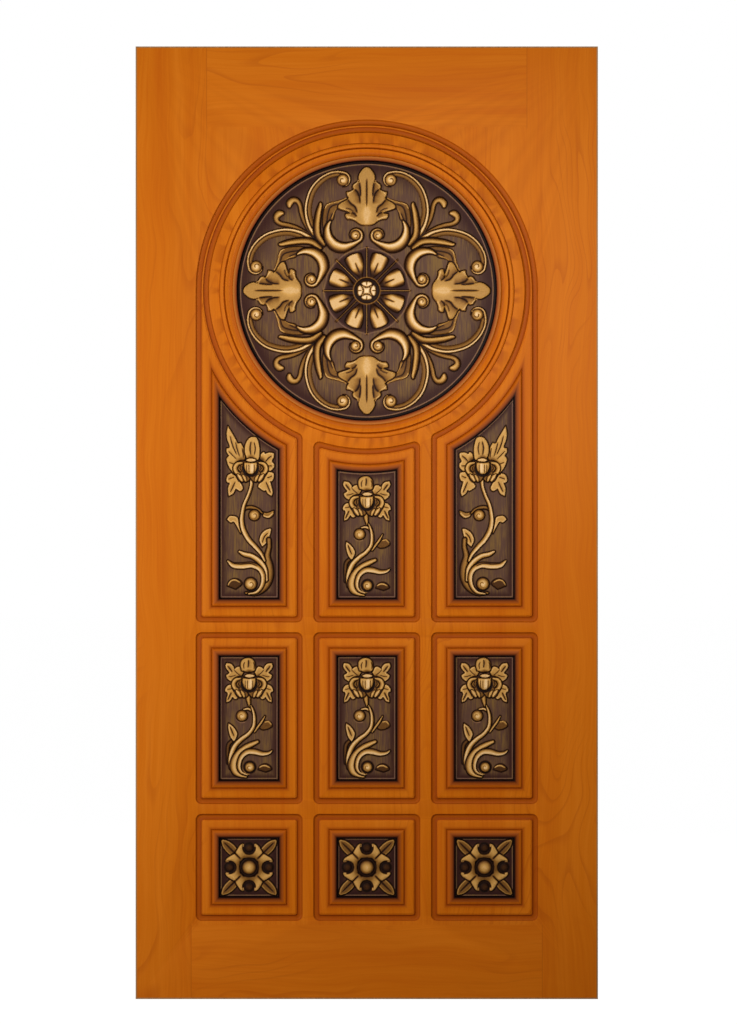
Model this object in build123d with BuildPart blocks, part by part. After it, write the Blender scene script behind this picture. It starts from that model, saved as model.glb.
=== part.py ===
from build123d import *
from math import cos, radians, sin, sqrt
import os

# A carved door leaf in millimetres. X is its width, Y its thickness with the carved face towards -Y,
# and Z its height. The origin is on the bottom edge, under the middle of the leaf.

# Leaf
LEAF_WIDTH = 990
LEAF_HEIGHT = 2040
FRONT_BOARD = 9
CORE_THICKNESS = 20
BACK_BOARD = 6
EDGE_BAND = 3

# Inner frame, its rails tenoned into its stiles
STILE_WIDTH = 95
TOP_RAIL_WIDTH = 110
LOCK_RAIL_WIDTH = 90
BOTTOM_RAIL_WIDTH = 150
LOCK_BLOCK_WIDTH = 95
LOCK_BLOCK_LENGTH = 380
TENON_LENGTH = 14
TENON_THICKNESS = 8
TENON_SHOULDER = 12
CORE_CLEARANCE = 0.3

# Layout of the moulded face: three columns of panels between the margins, and a round frame over them
SIDE_MARGIN = 128
TOP_MARGIN = 156
COLUMN_GAP = 22
ROW_GAP = 20
ROSETTE_ROW_FOOT = 167
ROSETTE_ROW_LENGTH = 230
UPPER_PANEL_EXTRA = 4.5
ARCH_BAND_WIDTH = 29.5

# Panel moulding, from the outer edge of its groove inwards; depths and rises are from the face
GROOVE_CORNER = 13
GROOVE_DEPTH = 4.5
GROOVE_COVE = 6
GROOVE_WIDTH = 10
RIDGE_INSET = 14.1
RIDGE_FLAT = 1
RIDGE_DROP = 1
ARRIS_INSET = 16
ARRIS_RISE = 0.3
SLOPE_INSET = 33
SLOPE_RISE = 2
QUIRK_WIDTH = 1.5
QUIRK_DEPTH = 1.6
OVOLO_WIDTH = 7
FILLET_RISE = 5.5
FRAME_INSET = 51

# Round frame, outwards from its pocket
ROUND_FRAME_WIDTH = 59.5
ROUND_FILLET_WIDTH = 9
ROUND_COVE_WIDTH = 5.5
ROUND_COVE_RISE = 1.4
ROUND_SLOPE_WIDTH = 9.5
ROUND_ARRIS_RISE = 5
ROUND_QUIRK_WIDTH = 3.5
ROUND_QUIRK_RISE = 0.5
ROUND_BEAD_WIDTH = 11
ROUND_BEAD_RISE = 3

# Carved plaques, each a plate glued into a pocket of the front board
POCKET_DEPTH = 5
PLATE_THICKNESS = 2.5
PLATE_CLEARANCE = 0.4
HIGH_CARVING = 8.5
MIDDLE_CARVING = 6
LOW_CARVING = 3.5
CARVING_ROOT = 1
BUTTON_FLATS = 8
COIL_STEP = 58

# The plates that the carvings are drawn for; a carving grows and shrinks with its plate
DRAWN_RADIUS = 278
DRAWN_WIDTH = 127.2
DRAWN_FLOWER_LENGTH = 266.2
DRAWN_SIDE_FLOWER_LENGTH = 363.4

# Worked out from the values above
LEAF_THICKNESS = FRONT_BOARD + CORE_THICKNESS + BACK_BOARD
PROUD = HIGH_CARVING - POCKET_DEPTH + PLATE_THICKNESS
FACE_Y = PROUD - (PROUD + LEAF_THICKNESS) / 2
CORE_Y = FACE_Y + FRONT_BOARD
BACK_Y = CORE_Y + CORE_THICKNESS
PLATE_Y = FACE_Y + POCKET_DEPTH - PLATE_THICKNESS
BOARD_WIDTH = LEAF_WIDTH - 2 * EDGE_BAND
BOARD_HEAD = LEAF_HEIGHT - EDGE_BAND
ARCH_RADIUS = LEAF_WIDTH / 2 - SIDE_MARGIN
PANEL_WIDTH = (2 * ARCH_RADIUS - 2 * COLUMN_GAP) / 3
COLUMN_PITCH = PANEL_WIDTH + COLUMN_GAP
INNER_EDGE = COLUMN_PITCH - PANEL_WIDTH / 2
CIRCLE_HEIGHT = LEAF_HEIGHT - TOP_MARGIN - ARCH_RADIUS
CIRCLE_BAND_RADIUS = ARCH_RADIUS - ARCH_BAND_WIDTH
ROUND_FRAME_RADIUS = CIRCLE_BAND_RADIUS - ROUND_FRAME_WIDTH
FLOWER_ROW_FOOT = ROSETTE_ROW_FOOT + ROSETTE_ROW_LENGTH + ROW_GAP
FLOWER_ROWS_LENGTH = CIRCLE_HEIGHT - CIRCLE_BAND_RADIUS - FLOWER_ROW_FOOT
FLOWER_ROW_LENGTH = (FLOWER_ROWS_LENGTH - ROW_GAP - UPPER_PANEL_EXTRA) / 2
UPPER_ROW_FOOT = FLOWER_ROW_FOOT + FLOWER_ROW_LENGTH + ROW_GAP
LOCK_RAIL_FOOT = UPPER_ROW_FOOT - ROW_GAP / 2 - LOCK_RAIL_WIDTH / 2
PLATE_INSET = FRAME_INSET + PLATE_CLEARANCE
PLATE_WIDTH = PANEL_WIDTH - 2 * PLATE_INSET

pieces = {}


def keep(name, piece):
    """Label a finished piece and keep it for export."""
    piece.label = name
    pieces[name] = piece


def at_rise(rise):
    """The sketch plane parallel to the door's face, at a rise over it."""
    return Plane.XZ.offset(rise - FACE_Y)


def circle_foot(x, reach):
    """The height of a circle's lower half at a distance x from the middle of the round frame."""
    return CIRCLE_HEIGHT - sqrt(max(reach * reach - x * x, 0))


def soften(corners, radius):
    """Round the corners of the sketch."""
    if radius > 0:
        fillet(corners, radius)


def panel_outline(panel, inset, corner=0):
    """A panel's outline, drawn in by an even inset. Without a head, its top follows the round frame."""
    left, right, foot, head = panel
    left, right, foot = left + inset, right - inset, foot + inset
    if head is not None:
        width, length = right - left, head - inset - foot
        with Locations(((left + right) / 2, foot + length / 2)):
            if corner > inset:
                RectangleRounded(width, length, corner - inset)
            else:
                Rectangle(width, length)
        return
    reach = CIRCLE_BAND_RADIUS + inset
    top_left, top_middle, top_right = [
        (x, circle_foot(x, reach)) for x in (left, (left + right) / 2, right)
    ]
    with BuildLine() as rim:
        Polyline(top_right, (right, foot), (left, foot), top_left)
        ThreePointArc(top_left, top_middle, top_right)
    make_face(rim.edges())
    soften(vertices(), corner - inset)


def horseshoe_outline(_, inset, corner=0):
    """The side panels and the arch that joins them over the round frame, drawn in by an even inset."""
    side, inner, foot = ARCH_RADIUS - inset, INNER_EDGE + inset, UPPER_ROW_FOOT + inset
    reach = CIRCLE_BAND_RADIUS + inset
    spring = circle_foot(inner, reach)
    with BuildLine() as rim:
        Polyline((side, CIRCLE_HEIGHT), (side, foot), (inner, foot), (inner, spring))
        ThreePointArc((inner, spring), (0, CIRCLE_HEIGHT + reach), (-inner, spring))
        Polyline((-inner, spring), (-inner, foot), (-side, foot), (-side, CIRCLE_HEIGHT))
        ThreePointArc((-side, CIRCLE_HEIGHT), (0, CIRCLE_HEIGHT + side), (side, CIRCLE_HEIGHT))
    make_face(rim.edges())
    # All its corners but the highest two, where the arch starts
    soften(vertices().sort_by(Axis.Y)[:-2], corner - inset)


# Sections of the groove and of the raised frame inside it, as pairs of inset and rise over the face
quirk_inset = SLOPE_INSET + QUIRK_WIDTH
quirk_rise = SLOPE_RISE - QUIRK_DEPTH
ovolo_height = FILLET_RISE - quirk_rise
groove_section = [(0, 0), (GROOVE_COVE, -GROOVE_DEPTH)]
ridge_section = [(GROOVE_WIDTH, -GROOVE_DEPTH), (RIDGE_INSET, -RIDGE_DROP)]
frame_section = [
    (RIDGE_INSET + RIDGE_FLAT, -RIDGE_DROP),
    (ARRIS_INSET, ARRIS_RISE),
    (SLOPE_INSET, SLOPE_RISE),
    (quirk_inset, quirk_rise),
    *[
        (
            quirk_inset + OVOLO_WIDTH * (1 - cos(radians(turn))),
            quirk_rise + ovolo_height * sin(radians(turn)),
        )
        for turn in (40, 90)
    ],
]


def run_moulding(section, outline, panel, mode, corner=0):
    """Carry a moulding's section round an outline, mitred at its corners."""
    steps = []
    for inset, rise in section:
        with BuildSketch(at_rise(rise)) as step:
            outline(panel, inset, corner)
        steps.append(step.sketch)
    loft(steps, ruled=True, mode=mode)


# Panels as left, right, foot and head; the upper row has no head, because it follows the round frame
columns = {"left": -COLUMN_PITCH, "centre": 0, "right": COLUMN_PITCH}
rows = {
    "rosette": (ROSETTE_ROW_FOOT, ROSETTE_ROW_FOOT + ROSETTE_ROW_LENGTH),
    "middle": (FLOWER_ROW_FOOT, FLOWER_ROW_FOOT + FLOWER_ROW_LENGTH),
    "upper": (UPPER_ROW_FOOT, None),
}
panels = {
    (row, column): (x - PANEL_WIDTH / 2, x + PANEL_WIDTH / 2, foot, head)
    for row, (foot, head) in rows.items()
    for column, x in columns.items()
}

# Round frame's section, outwards from its pocket, as pairs of radius and rise
cove_radius = ROUND_FRAME_RADIUS + ROUND_FILLET_WIDTH + ROUND_COVE_WIDTH
arris_radius = cove_radius + ROUND_SLOPE_WIDTH
bead_start = arris_radius + ROUND_QUIRK_WIDTH
bead_end = bead_start + ROUND_BEAD_WIDTH
round_section = [
    (ROUND_FRAME_RADIUS, -POCKET_DEPTH),
    (ROUND_FRAME_RADIUS, FILLET_RISE),
    (ROUND_FRAME_RADIUS + ROUND_FILLET_WIDTH, FILLET_RISE),
    (cove_radius, ROUND_COVE_RISE),
    (arris_radius, ROUND_ARRIS_RISE),
    (bead_start, ROUND_QUIRK_RISE),
    (bead_start + ROUND_BEAD_WIDTH / 2, ROUND_BEAD_RISE),
    (bead_end, 0),
    (bead_end, -POCKET_DEPTH),
]

# Front skin: a flat board with its grooves cut, its frames raised and its pockets cut
with BuildPart() as front_skin:
    with BuildSketch(at_rise(0)):
        with Locations((0, LEAF_HEIGHT / 2)):
            Rectangle(BOARD_WIDTH, LEAF_HEIGHT - 2 * EDGE_BAND)
    extrude(amount=-FRONT_BOARD)

    run_moulding(groove_section, horseshoe_outline, None, Mode.SUBTRACT, GROOVE_CORNER)
    run_moulding(ridge_section, horseshoe_outline, None, Mode.ADD)
    for (row, column), panel in panels.items():
        if row != "upper" or column == "centre":
            run_moulding(groove_section, panel_outline, panel, Mode.SUBTRACT, GROOVE_CORNER)
            run_moulding(ridge_section, panel_outline, panel, Mode.ADD)
        run_moulding(frame_section, panel_outline, panel, Mode.ADD)

    with BuildSketch(Plane.YZ):
        with BuildLine():
            Polyline(
                [(FACE_Y - rise, CIRCLE_HEIGHT + radius) for radius, rise in round_section], close=True
            )
        make_face()
    revolve(axis=Axis((0, 0, CIRCLE_HEIGHT), (0, 1, 0)))

    with BuildSketch(at_rise(-POCKET_DEPTH)):
        with Locations((0, CIRCLE_HEIGHT)):
            Circle(ROUND_FRAME_RADIUS)
        for panel in panels.values():
            panel_outline(panel, FRAME_INSET)
    extrude(amount=POCKET_DEPTH + FILLET_RISE, mode=Mode.SUBTRACT)
keep("front_skin", front_skin.part)

# Back skin: a plain board
with BuildPart() as back_skin:
    with BuildSketch(Plane.XZ.offset(-BACK_Y)):
        with Locations((0, LEAF_HEIGHT / 2)):
            Rectangle(BOARD_WIDTH, LEAF_HEIGHT - 2 * EDGE_BAND)
    extrude(amount=-BACK_BOARD)
keep("back_skin", back_skin.part)


def board(left, right, foot, head, thickness=CORE_THICKNESS, mode=Mode.ADD):
    """A board in the core, centred in the core's thickness."""
    with Locations(((left + right) / 2, (CORE_Y + BACK_Y) / 2, (foot + head) / 2)):
        Box(right - left, thickness, head - foot, mode=mode)


# Inner frame: rails with a tenon at each end, and stiles with mortises for them
stile_edge = BOARD_WIDTH / 2 - STILE_WIDTH
rails = {
    "bottom_rail": (EDGE_BAND, EDGE_BAND + BOTTOM_RAIL_WIDTH),
    "lock_rail": (LOCK_RAIL_FOOT, LOCK_RAIL_FOOT + LOCK_RAIL_WIDTH),
    "top_rail": (BOARD_HEAD - TOP_RAIL_WIDTH, BOARD_HEAD),
}
for name, (foot, head) in rails.items():
    with BuildPart() as rail:
        board(-stile_edge, stile_edge, foot, head)
        tenon_edge = stile_edge + TENON_LENGTH
        board(-tenon_edge, tenon_edge, foot + TENON_SHOULDER, head - TENON_SHOULDER, TENON_THICKNESS)
    keep(name, rail.part)

for name, edge in (("hinge_stile", -1), ("lock_stile", 1)):
    inner, outer = sorted((edge * stile_edge, edge * BOARD_WIDTH / 2))
    mortise_edge = edge * (stile_edge + TENON_LENGTH + CORE_CLEARANCE)
    mortise_left, mortise_right = sorted((edge * stile_edge, mortise_edge))
    with BuildPart() as stile:
        board(inner, outer, EDGE_BAND, BOARD_HEAD)
        for foot, head in rails.values():
            foot, head = foot + TENON_SHOULDER - CORE_CLEARANCE, head - TENON_SHOULDER + CORE_CLEARANCE
            height = TENON_THICKNESS + 2 * CORE_CLEARANCE
            board(mortise_left, mortise_right, foot, head, height, Mode.SUBTRACT)
    keep(name, stile.part)

# Lock block, on the lock rail against the lock stile, and the two core boards
lock_rail_head = LOCK_RAIL_FOOT + LOCK_RAIL_WIDTH
block_head = lock_rail_head + LOCK_BLOCK_LENGTH
with BuildPart() as lock_block:
    board(stile_edge - LOCK_BLOCK_WIDTH, stile_edge, lock_rail_head, block_head)
keep("lock_block", lock_block.part)

core_edge = stile_edge - CORE_CLEARANCE
with BuildPart() as core_panel_upper:
    board(
        -core_edge, core_edge, lock_rail_head + CORE_CLEARANCE, BOARD_HEAD - TOP_RAIL_WIDTH - CORE_CLEARANCE
    )
    board(
        core_edge - LOCK_BLOCK_WIDTH,
        stile_edge,
        lock_rail_head,
        block_head + CORE_CLEARANCE,
        mode=Mode.SUBTRACT,
    )
keep("core_panel_upper", core_panel_upper.part)

with BuildPart() as core_panel_lower:
    board(
        -core_edge,
        core_edge,
        EDGE_BAND + BOTTOM_RAIL_WIDTH + CORE_CLEARANCE,
        LOCK_RAIL_FOOT - CORE_CLEARANCE,
    )
keep("core_panel_lower", core_panel_lower.part)

# Edge bands, as wide as the leaf is thick
bands = {
    "hinge_edge_band": (-LEAF_WIDTH / 2, -BOARD_WIDTH / 2, 0, LEAF_HEIGHT),
    "lock_edge_band": (BOARD_WIDTH / 2, LEAF_WIDTH / 2, 0, LEAF_HEIGHT),
    "bottom_edge_band": (-BOARD_WIDTH / 2, BOARD_WIDTH / 2, 0, EDGE_BAND),
    "top_edge_band": (-BOARD_WIDTH / 2, BOARD_WIDTH / 2, BOARD_HEAD, LEAF_HEIGHT),
}
for name, (left, right, foot, head) in bands.items():
    with BuildPart() as band:
        with BuildSketch(at_rise(0)):
            with Locations(((left + right) / 2, (foot + head) / 2)):
                Rectangle(right - left, head - foot)
        extrude(amount=-LEAF_THICKNESS)
    keep(name, band.part)


def strap(route, scale):
    """Sketch a strap along a route of points, each x, z and half width, square to the route at each."""
    points = [Vector(*point) for point in route]
    before = [points[0] * 2 - points[1], *points[:-1]]
    after = [*points[1:], points[-1] * 2 - points[-2]]
    left, right = [], []
    for last, point, following in zip(before, points, after):
        along = Vector(following.X - last.X, following.Y - last.Y).normalized()
        centre, across = Vector(point.X, point.Y), Vector(-along.Y, along.X) * point.Z
        left.append((centre + across) * scale)
        right.append((centre - across) * scale)
    with BuildLine() as rim:
        Polyline([*left, *reversed(right)], close=True)
    make_face(rim.edges())


def carve(route, rise, scale=1.0):
    """Carve a strap that is rooted in its plate and rises towards -Y."""
    with BuildSketch(Plane.XZ.offset(-CARVING_ROOT)) as foot:
        strap(route, scale)
    extrude(foot.sketch, amount=rise + CARVING_ROOT)


def carve_leaf(half_outline, rise, scale=1.0):
    """Carve a leaf that is even about its upright middle, from the outline of its right half."""
    left_half = [(-x, z) for x, z in reversed(half_outline)]
    with BuildSketch(Plane.XZ.offset(-CARVING_ROOT)) as foot:
        with BuildLine() as rim:
            Polyline([Vector(*point) * scale for point in [*half_outline, *left_half]], close=True)
        make_face(rim.edges())
    extrude(foot.sketch, amount=rise + CARVING_ROOT)


def button(x, z, radius, rise, scale=1.0):
    """Carve a button, its rim cut in flats."""
    with BuildSketch(Plane.XZ.offset(-CARVING_ROOT)) as foot:
        with Locations((x * scale, z * scale)):
            RegularPolygon(radius * scale, BUTTON_FLATS)
    extrude(foot.sketch, amount=rise + CARVING_ROOT)


def coil(x, z, inner, outer, start, turn, half_width):
    """The route of a volute: a spiral about a centre, from its inner radius to its outer one."""
    count = round(abs(turn) / COIL_STEP)
    route = []
    for step in range(count + 1):
        angle = radians(start + turn * step / count)
        radius = inner + (outer - inner) * step / count
        route.append((x + radius * cos(angle), z + radius * sin(angle), half_width))
    return route


# Medallion: half of a quarter, its mirror image, and four quarters round a flower
half_quarter = [
    (
        HIGH_CARVING,
        [
            *coil(25, 120.5, 9, 13.5, -60, 290, 3.8),
            (38, 96.5, 7.5),
            (55.5, 94.5, 10.7),
            (75, 101.5, 11.5),
            (85, 117, 8),
        ],
    ),
    (
        MIDDLE_CARVING,
        [
            *coil(51, 235.5, 7.5, 12.5, 60, -250, 3),
            (59, 251.5, 3),
            (84, 247, 3.3),
            (111, 225, 3.8),
            (126, 198, 4.2),
            (127.5, 160, 5),
            (113, 121, 6),
            (94, 100.5, 6.5),
        ],
    ),
    (HIGH_CARVING - 1, [(79, 111.5, 8), (82, 130, 6.2), (71.5, 148.5, 2.6)]),
    (HIGH_CARVING - 1, [(90, 105, 7), (104.5, 126, 6.9), (103.5, 162, 5.6), (103, 186, 2.4)]),
    (LOW_CARVING + 1, [(115.5, 124, 4.7), (130.5, 150, 5.1), (147, 187.5, 5.6), (162, 187, 6.9)]),
    (LOW_CARVING, [(34, 185, 11), (62, 184, 7.5), (91, 176, 4)]),
]
half_quarter_eyes = [(25, 120.5, 5.8, HIGH_CARVING - 1), (51, 235.5, 4.8, MIDDLE_CARVING - 1)]
half_acanthus = [
    (17, 142),
    (25, 150),
    (41, 153.5),
    (45.5, 163),
    (30, 168.5),
    (42, 198),
    (42.5, 210),
    (28, 217),
    (28, 226),
    (15, 234.5),
    (17.5, 245),
    (11.5, 257),
    (5, 263.5),
]
BOSS_RADIUS = 22
petal = [(0, 28, 5), (0, 62, 20), (0, 74, 18), (0, 81, 9)]

medallion_scale = ROUND_FRAME_RADIUS / DRAWN_RADIUS
with BuildPart() as medallion_quarter:
    for rise, route in half_quarter:
        carve(route, rise, medallion_scale)
    for x, z, radius, rise in half_quarter_eyes:
        button(x, z, radius, rise, medallion_scale)
    mirror(about=Plane.YZ)
    carve_leaf(half_acanthus, MIDDLE_CARVING + 1, medallion_scale)

with BuildPart() as medallion_petal:
    carve(petal, MIDDLE_CARVING, medallion_scale)

with BuildPart() as medallion_plaque:
    with BuildSketch(Plane.XZ):
        Circle(ROUND_FRAME_RADIUS - PLATE_CLEARANCE)
    extrude(amount=-PLATE_THICKNESS)
    button(0, 0, BOSS_RADIUS, HIGH_CARVING, medallion_scale)
    quarters = [medallion_quarter.part.rotate(Axis.Y, 90 * turn) for turn in range(4)]
    petals = [medallion_petal.part.rotate(Axis.Y, 45 * turn + 22.5) for turn in range(8)]
    add([*quarters, *petals], clean=False)
keep("medallion_plaque", medallion_plaque.part.moved(Location((0, PLATE_Y, CIRCLE_HEIGHT))))

# Flower carving, drawn from the middle of its plate's foot: a stem from a volute up to a flower and bud
flower = [
    (
        MIDDLE_CARVING,
        [
            (-2, 184, 3.9),
            (13, 134, 3.9),
            (8.5, 112, 4.3),
            (-20.5, 80.5, 5.6),
            (-35, 60, 7.3),
            (-36, 38, 9.4),
            (-26, 21, 8.6),
            (-10.5, 13, 5.6),
            (5.5, 12, 3.4),
        ],
    ),
    (MIDDLE_CARVING - 1, [(11, 144.5, 3), (0, 151.5, 3.4), (-13, 149, 3.9)]),
    (MIDDLE_CARVING + 1, [(-32, 30, 5.6), (-28, 55.5, 7.3), (-9, 74, 6.4), (18.5, 83, 2.4)]),
    (
        MIDDLE_CARVING + 1,
        [(-25.5, 23.5, 5.1), (-22.5, 44, 6.9), (-8.5, 55, 6), (28, 53.5, 4.7), (49.5, 64, 2.2)],
    ),
    (LOW_CARVING, [(-40.5, 121.5, 2.2), (-36.5, 107, 6.9), (-34, 90, 4), (-38.5, 58, 3.4)]),
    (LOW_CARVING + 0.5, [(8.5, 104, 2.8), (20.5, 118, 3.2), (33, 135, 2)]),
    (LOW_CARVING, [(12, 103, 3.2), (27, 116.5, 6.4), (39.5, 120, 7.3), (50, 112.5, 2.6)]),
    (LOW_CARVING, [(12, 25, 2.4), (31, 31.5, 4.7), (48, 20.5, 2.2)]),
    (MIDDLE_CARVING, [(-2, 216, 8.5), (-2, 246, 14.1), (-2, 260, 8)]),
]
flower_leaves = [
    (MIDDLE_CARVING - 1, [(9.5, 218.5, 8.6), (27, 232.5, 10.7), (49, 252.5, 2.2)]),
    (MIDDLE_CARVING - 1, [(9.5, 201.5, 8.6), (28, 186.5, 10.7), (48, 166, 2.2)]),
    (LOW_CARVING + 0.5, [(11, 211, 7.7), (36.5, 219.5, 7.7), (48, 222, 3)]),
    (LOW_CARVING + 0.5, [(11, 206.5, 7.7), (38.5, 199, 8.1), (51.5, 198, 3)]),
    (MIDDLE_CARVING + 1, [(4, 180.5, 4.7), (22.5, 184, 6.4), (33.5, 202, 6), (20.5, 219.5, 3)]),
]
flower_buttons = [
    (0, 212, 15, HIGH_CARVING),
    (-16, 140, 13, HIGH_CARVING - 1),
    (2, 26.5, 11, HIGH_CARVING - 1),
]

# Side flower carving, taller, and drawn for the left: the right one is its mirror image
side_flower = [
    (
        MIDDLE_CARVING,
        [
            (5.5, 259, 3.6),
            (4, 232, 3.4),
            (-16, 170, 4.3),
            (-0.5, 124, 5.1),
            (35, 80.5, 7.3),
            (41.5, 55.5, 9),
            (37.5, 31.5, 9),
            (23.5, 16.5, 6.4),
            (6.5, 12, 3.9),
        ],
    ),
    (MIDDLE_CARVING - 1, [(-12, 186.5, 3), (-4.5, 193.5, 3.4), (8.5, 192.5, 3.9)]),
    (LOW_CARVING, [(19, 190, 3), (35.5, 180, 4.7), (51.5, 186.5, 2.2)]),
    (LOW_CARVING, [(-17, 147.5, 3), (-28.5, 165, 4.2), (-49.5, 168.5, 2.4)]),
    (LOW_CARVING, [(44.5, 145.5, 2.2), (35, 133, 6.9), (32, 110, 4), (38.5, 78, 3.4)]),
    (MIDDLE_CARVING + 1, [(-20, 100, 2.6), (18, 77, 6.4), (31, 55.5, 6.9), (33, 32, 5.6)]),
    (
        MIDDLE_CARVING + 1,
        [(-46, 78, 2.2), (-35.5, 66.5, 3.9), (-10, 62, 5.1), (16, 58, 6.4), (27, 30, 5.1)],
    ),
    (LOW_CARVING, [(-46.5, 30, 2.2), (-33, 36.5, 4.3), (-14, 24.5, 2.4)]),
    (MIDDLE_CARVING, [(4.5, 290, 7.7), (6, 317, 13.3), (7.5, 334, 11.6), (8, 348, 3)]),
    (MIDDLE_CARVING, [(-8.5, 291, 8.6), (-25.5, 311.5, 12), (-37.5, 334, 9.9), (-46.5, 370.5, 2.2)]),
    (LOW_CARVING + 0.5, [(-14, 291, 8.1), (-36.5, 291, 8.6), (-49.5, 296.5, 3)]),
    (LOW_CARVING + 0.5, [(-19.5, 300, 7.7), (-37.5, 310.5, 7.7), (-49.5, 320, 2.6)]),
    (LOW_CARVING + 0.5, [(19.5, 293.5, 8.1), (36.5, 304, 9), (52, 311.5, 3)]),
    (LOW_CARVING + 0.5, [(22, 285, 7.3), (40.5, 282, 7.7), (52, 280.5, 3)]),
]
side_flower_leaves = [
    (MIDDLE_CARVING - 1, [(13, 265.5, 8.6), (29.5, 249.5, 10.7), (44, 222, 2.2)]),
    (LOW_CARVING + 0.5, [(18, 265.5, 7.3), (38.5, 259, 8.1), (50, 259, 3)]),
    (MIDDLE_CARVING + 1, [(6, 247.5, 4.7), (21.5, 251.5, 6.4), (31, 270, 6), (20.5, 288, 3)]),
]
side_flower_buttons = [
    (3, 285, 15, HIGH_CARVING),
    (10.5, 179, 14, HIGH_CARVING - 1),
    (2.5, 31.5, 12, HIGH_CARVING - 1),
]

# Rosette carving, drawn from the middle of its plate: a ball and four leaves, each with two side lobes
rosette_leaf = [
    (MIDDLE_CARVING - 1, [(0, 14, 9), (0, 36, 15), (0, 60, 12), (0, 83, 2.4)]),
    (MIDDLE_CARVING - 1, [(2, 24, 7), (16, 38, 8.6), (24.5, 52, 6), (20, 66, 2.4)]),
    (MIDDLE_CARVING - 1, [(-2, 24, 7), (-16, 38, 8.6), (-24.5, 52, 6), (-20, 66, 2.4)]),
]
ROSETTE_BALL_RADIUS = 15

# How long each kind's plate is, down its middle, and how much its carving grows or shrinks to fit it
side_plate_head = circle_foot(COLUMN_PITCH, CIRCLE_BAND_RADIUS + PLATE_INSET)
plate_lengths = {
    "flower": FLOWER_ROW_LENGTH - 2 * PLATE_INSET,
    "side_flower": side_plate_head - UPPER_ROW_FOOT - PLATE_INSET,
    "rosette": ROSETTE_ROW_LENGTH - 2 * PLATE_INSET,
}
drawn_lengths = {
    "flower": DRAWN_FLOWER_LENGTH,
    "side_flower": DRAWN_SIDE_FLOWER_LENGTH,
    "rosette": DRAWN_WIDTH,
}
scales = {
    kind: min(PLATE_WIDTH / DRAWN_WIDTH, plate_lengths[kind] / drawn) for kind, drawn in drawn_lengths.items()
}


def carve_all(straps, leaves, buttons, middle, scale):
    """Carve straps, pairs of leaves either side of an upright middle line, and buttons."""
    for rise, route in straps:
        carve(route, rise, scale)
    for rise, route in leaves:
        for side in (-1, 1):
            carve([(middle + side * x, z, width) for x, z, width in route], rise, scale)
    for x, z, radius, rise in buttons:
        button(x, z, radius, rise, scale)


with BuildPart() as flower_carving:
    carve_all(flower, flower_leaves, flower_buttons, -1, scales["flower"])

with BuildPart() as side_flower_left:
    carve_all(side_flower, side_flower_leaves, side_flower_buttons, 4, scales["side_flower"])

with BuildPart() as side_flower_right:
    mirror(side_flower_left.part, about=Plane.YZ)

with BuildPart() as rosette_quarter:
    for rise, route in rosette_leaf:
        carve(route, rise, scales["rosette"])

with BuildPart() as rosette_carving:
    add([rosette_quarter.part.rotate(Axis.Y, 90 * turn + 45) for turn in range(4)])
    button(0, 0, ROSETTE_BALL_RADIUS, HIGH_CARVING, scales["rosette"])

# Plaques: a plate that fits each panel's pocket, with its carving on it
carvings = {
    ("upper", "left"): ("side_flower", side_flower_left),
    ("upper", "right"): ("side_flower", side_flower_right),
    ("rosette", "left"): ("rosette", rosette_carving),
    ("rosette", "centre"): ("rosette", rosette_carving),
    ("rosette", "right"): ("rosette", rosette_carving),
}
for (row, column), panel in panels.items():
    left, right, foot, head = panel
    kind, carving = carvings.get((row, column), ("flower", flower_carving))
    # A rosette is drawn from its middle and a flower from its foot, with what room is left shared out
    drawn_length = 0 if kind == "rosette" else drawn_lengths[kind] * scales[kind]
    carving_foot = foot + PLATE_INSET + (plate_lengths[kind] - drawn_length) / 2
    with BuildPart() as plaque:
        with BuildSketch(Plane.XZ.offset(-PLATE_Y)):
            panel_outline(panel, PLATE_INSET)
        extrude(amount=-PLATE_THICKNESS)
        with Locations(((left + right) / 2, PLATE_Y, carving_foot)):
            add(carving.part)
    name = f"rosette_plaque_{column}" if row == "rosette" else f"flower_plaque_{row}_{column}"
    keep(name, plaque.part)

os.makedirs("parts", exist_ok=True)
for name, piece in pieces.items():
    export_step(piece, f"parts/{name}.step")
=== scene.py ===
import math
from functools import partial

import bmesh
import bpy
import numpy as np
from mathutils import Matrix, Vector, geometry


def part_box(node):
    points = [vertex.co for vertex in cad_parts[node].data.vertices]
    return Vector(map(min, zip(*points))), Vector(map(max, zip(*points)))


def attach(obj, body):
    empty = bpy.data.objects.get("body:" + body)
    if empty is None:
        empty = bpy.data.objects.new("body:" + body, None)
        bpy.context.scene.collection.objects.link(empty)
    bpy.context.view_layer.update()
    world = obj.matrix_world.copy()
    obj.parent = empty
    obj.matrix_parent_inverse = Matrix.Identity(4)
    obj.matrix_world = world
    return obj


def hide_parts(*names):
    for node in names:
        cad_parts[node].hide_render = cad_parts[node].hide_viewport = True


# The looks of a carved door leaf. Shapes are worked out in millimetres in the frame's own axes: x is the
# width, y the thickness with the carved face towards -y, and z the height. They become metres in a mesh.

MM = 0.001

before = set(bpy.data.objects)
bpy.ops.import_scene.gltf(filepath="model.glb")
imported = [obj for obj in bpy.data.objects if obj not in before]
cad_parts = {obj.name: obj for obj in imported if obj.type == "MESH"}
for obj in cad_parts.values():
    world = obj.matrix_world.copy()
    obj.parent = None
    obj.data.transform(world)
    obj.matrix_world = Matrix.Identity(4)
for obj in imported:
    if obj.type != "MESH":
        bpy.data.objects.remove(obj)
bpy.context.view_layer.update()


def corners(node):
    """A node's lowest and highest corners, in millimetres."""
    low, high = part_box(node)
    return np.array(low) / MM, np.array(high) / MM


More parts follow.
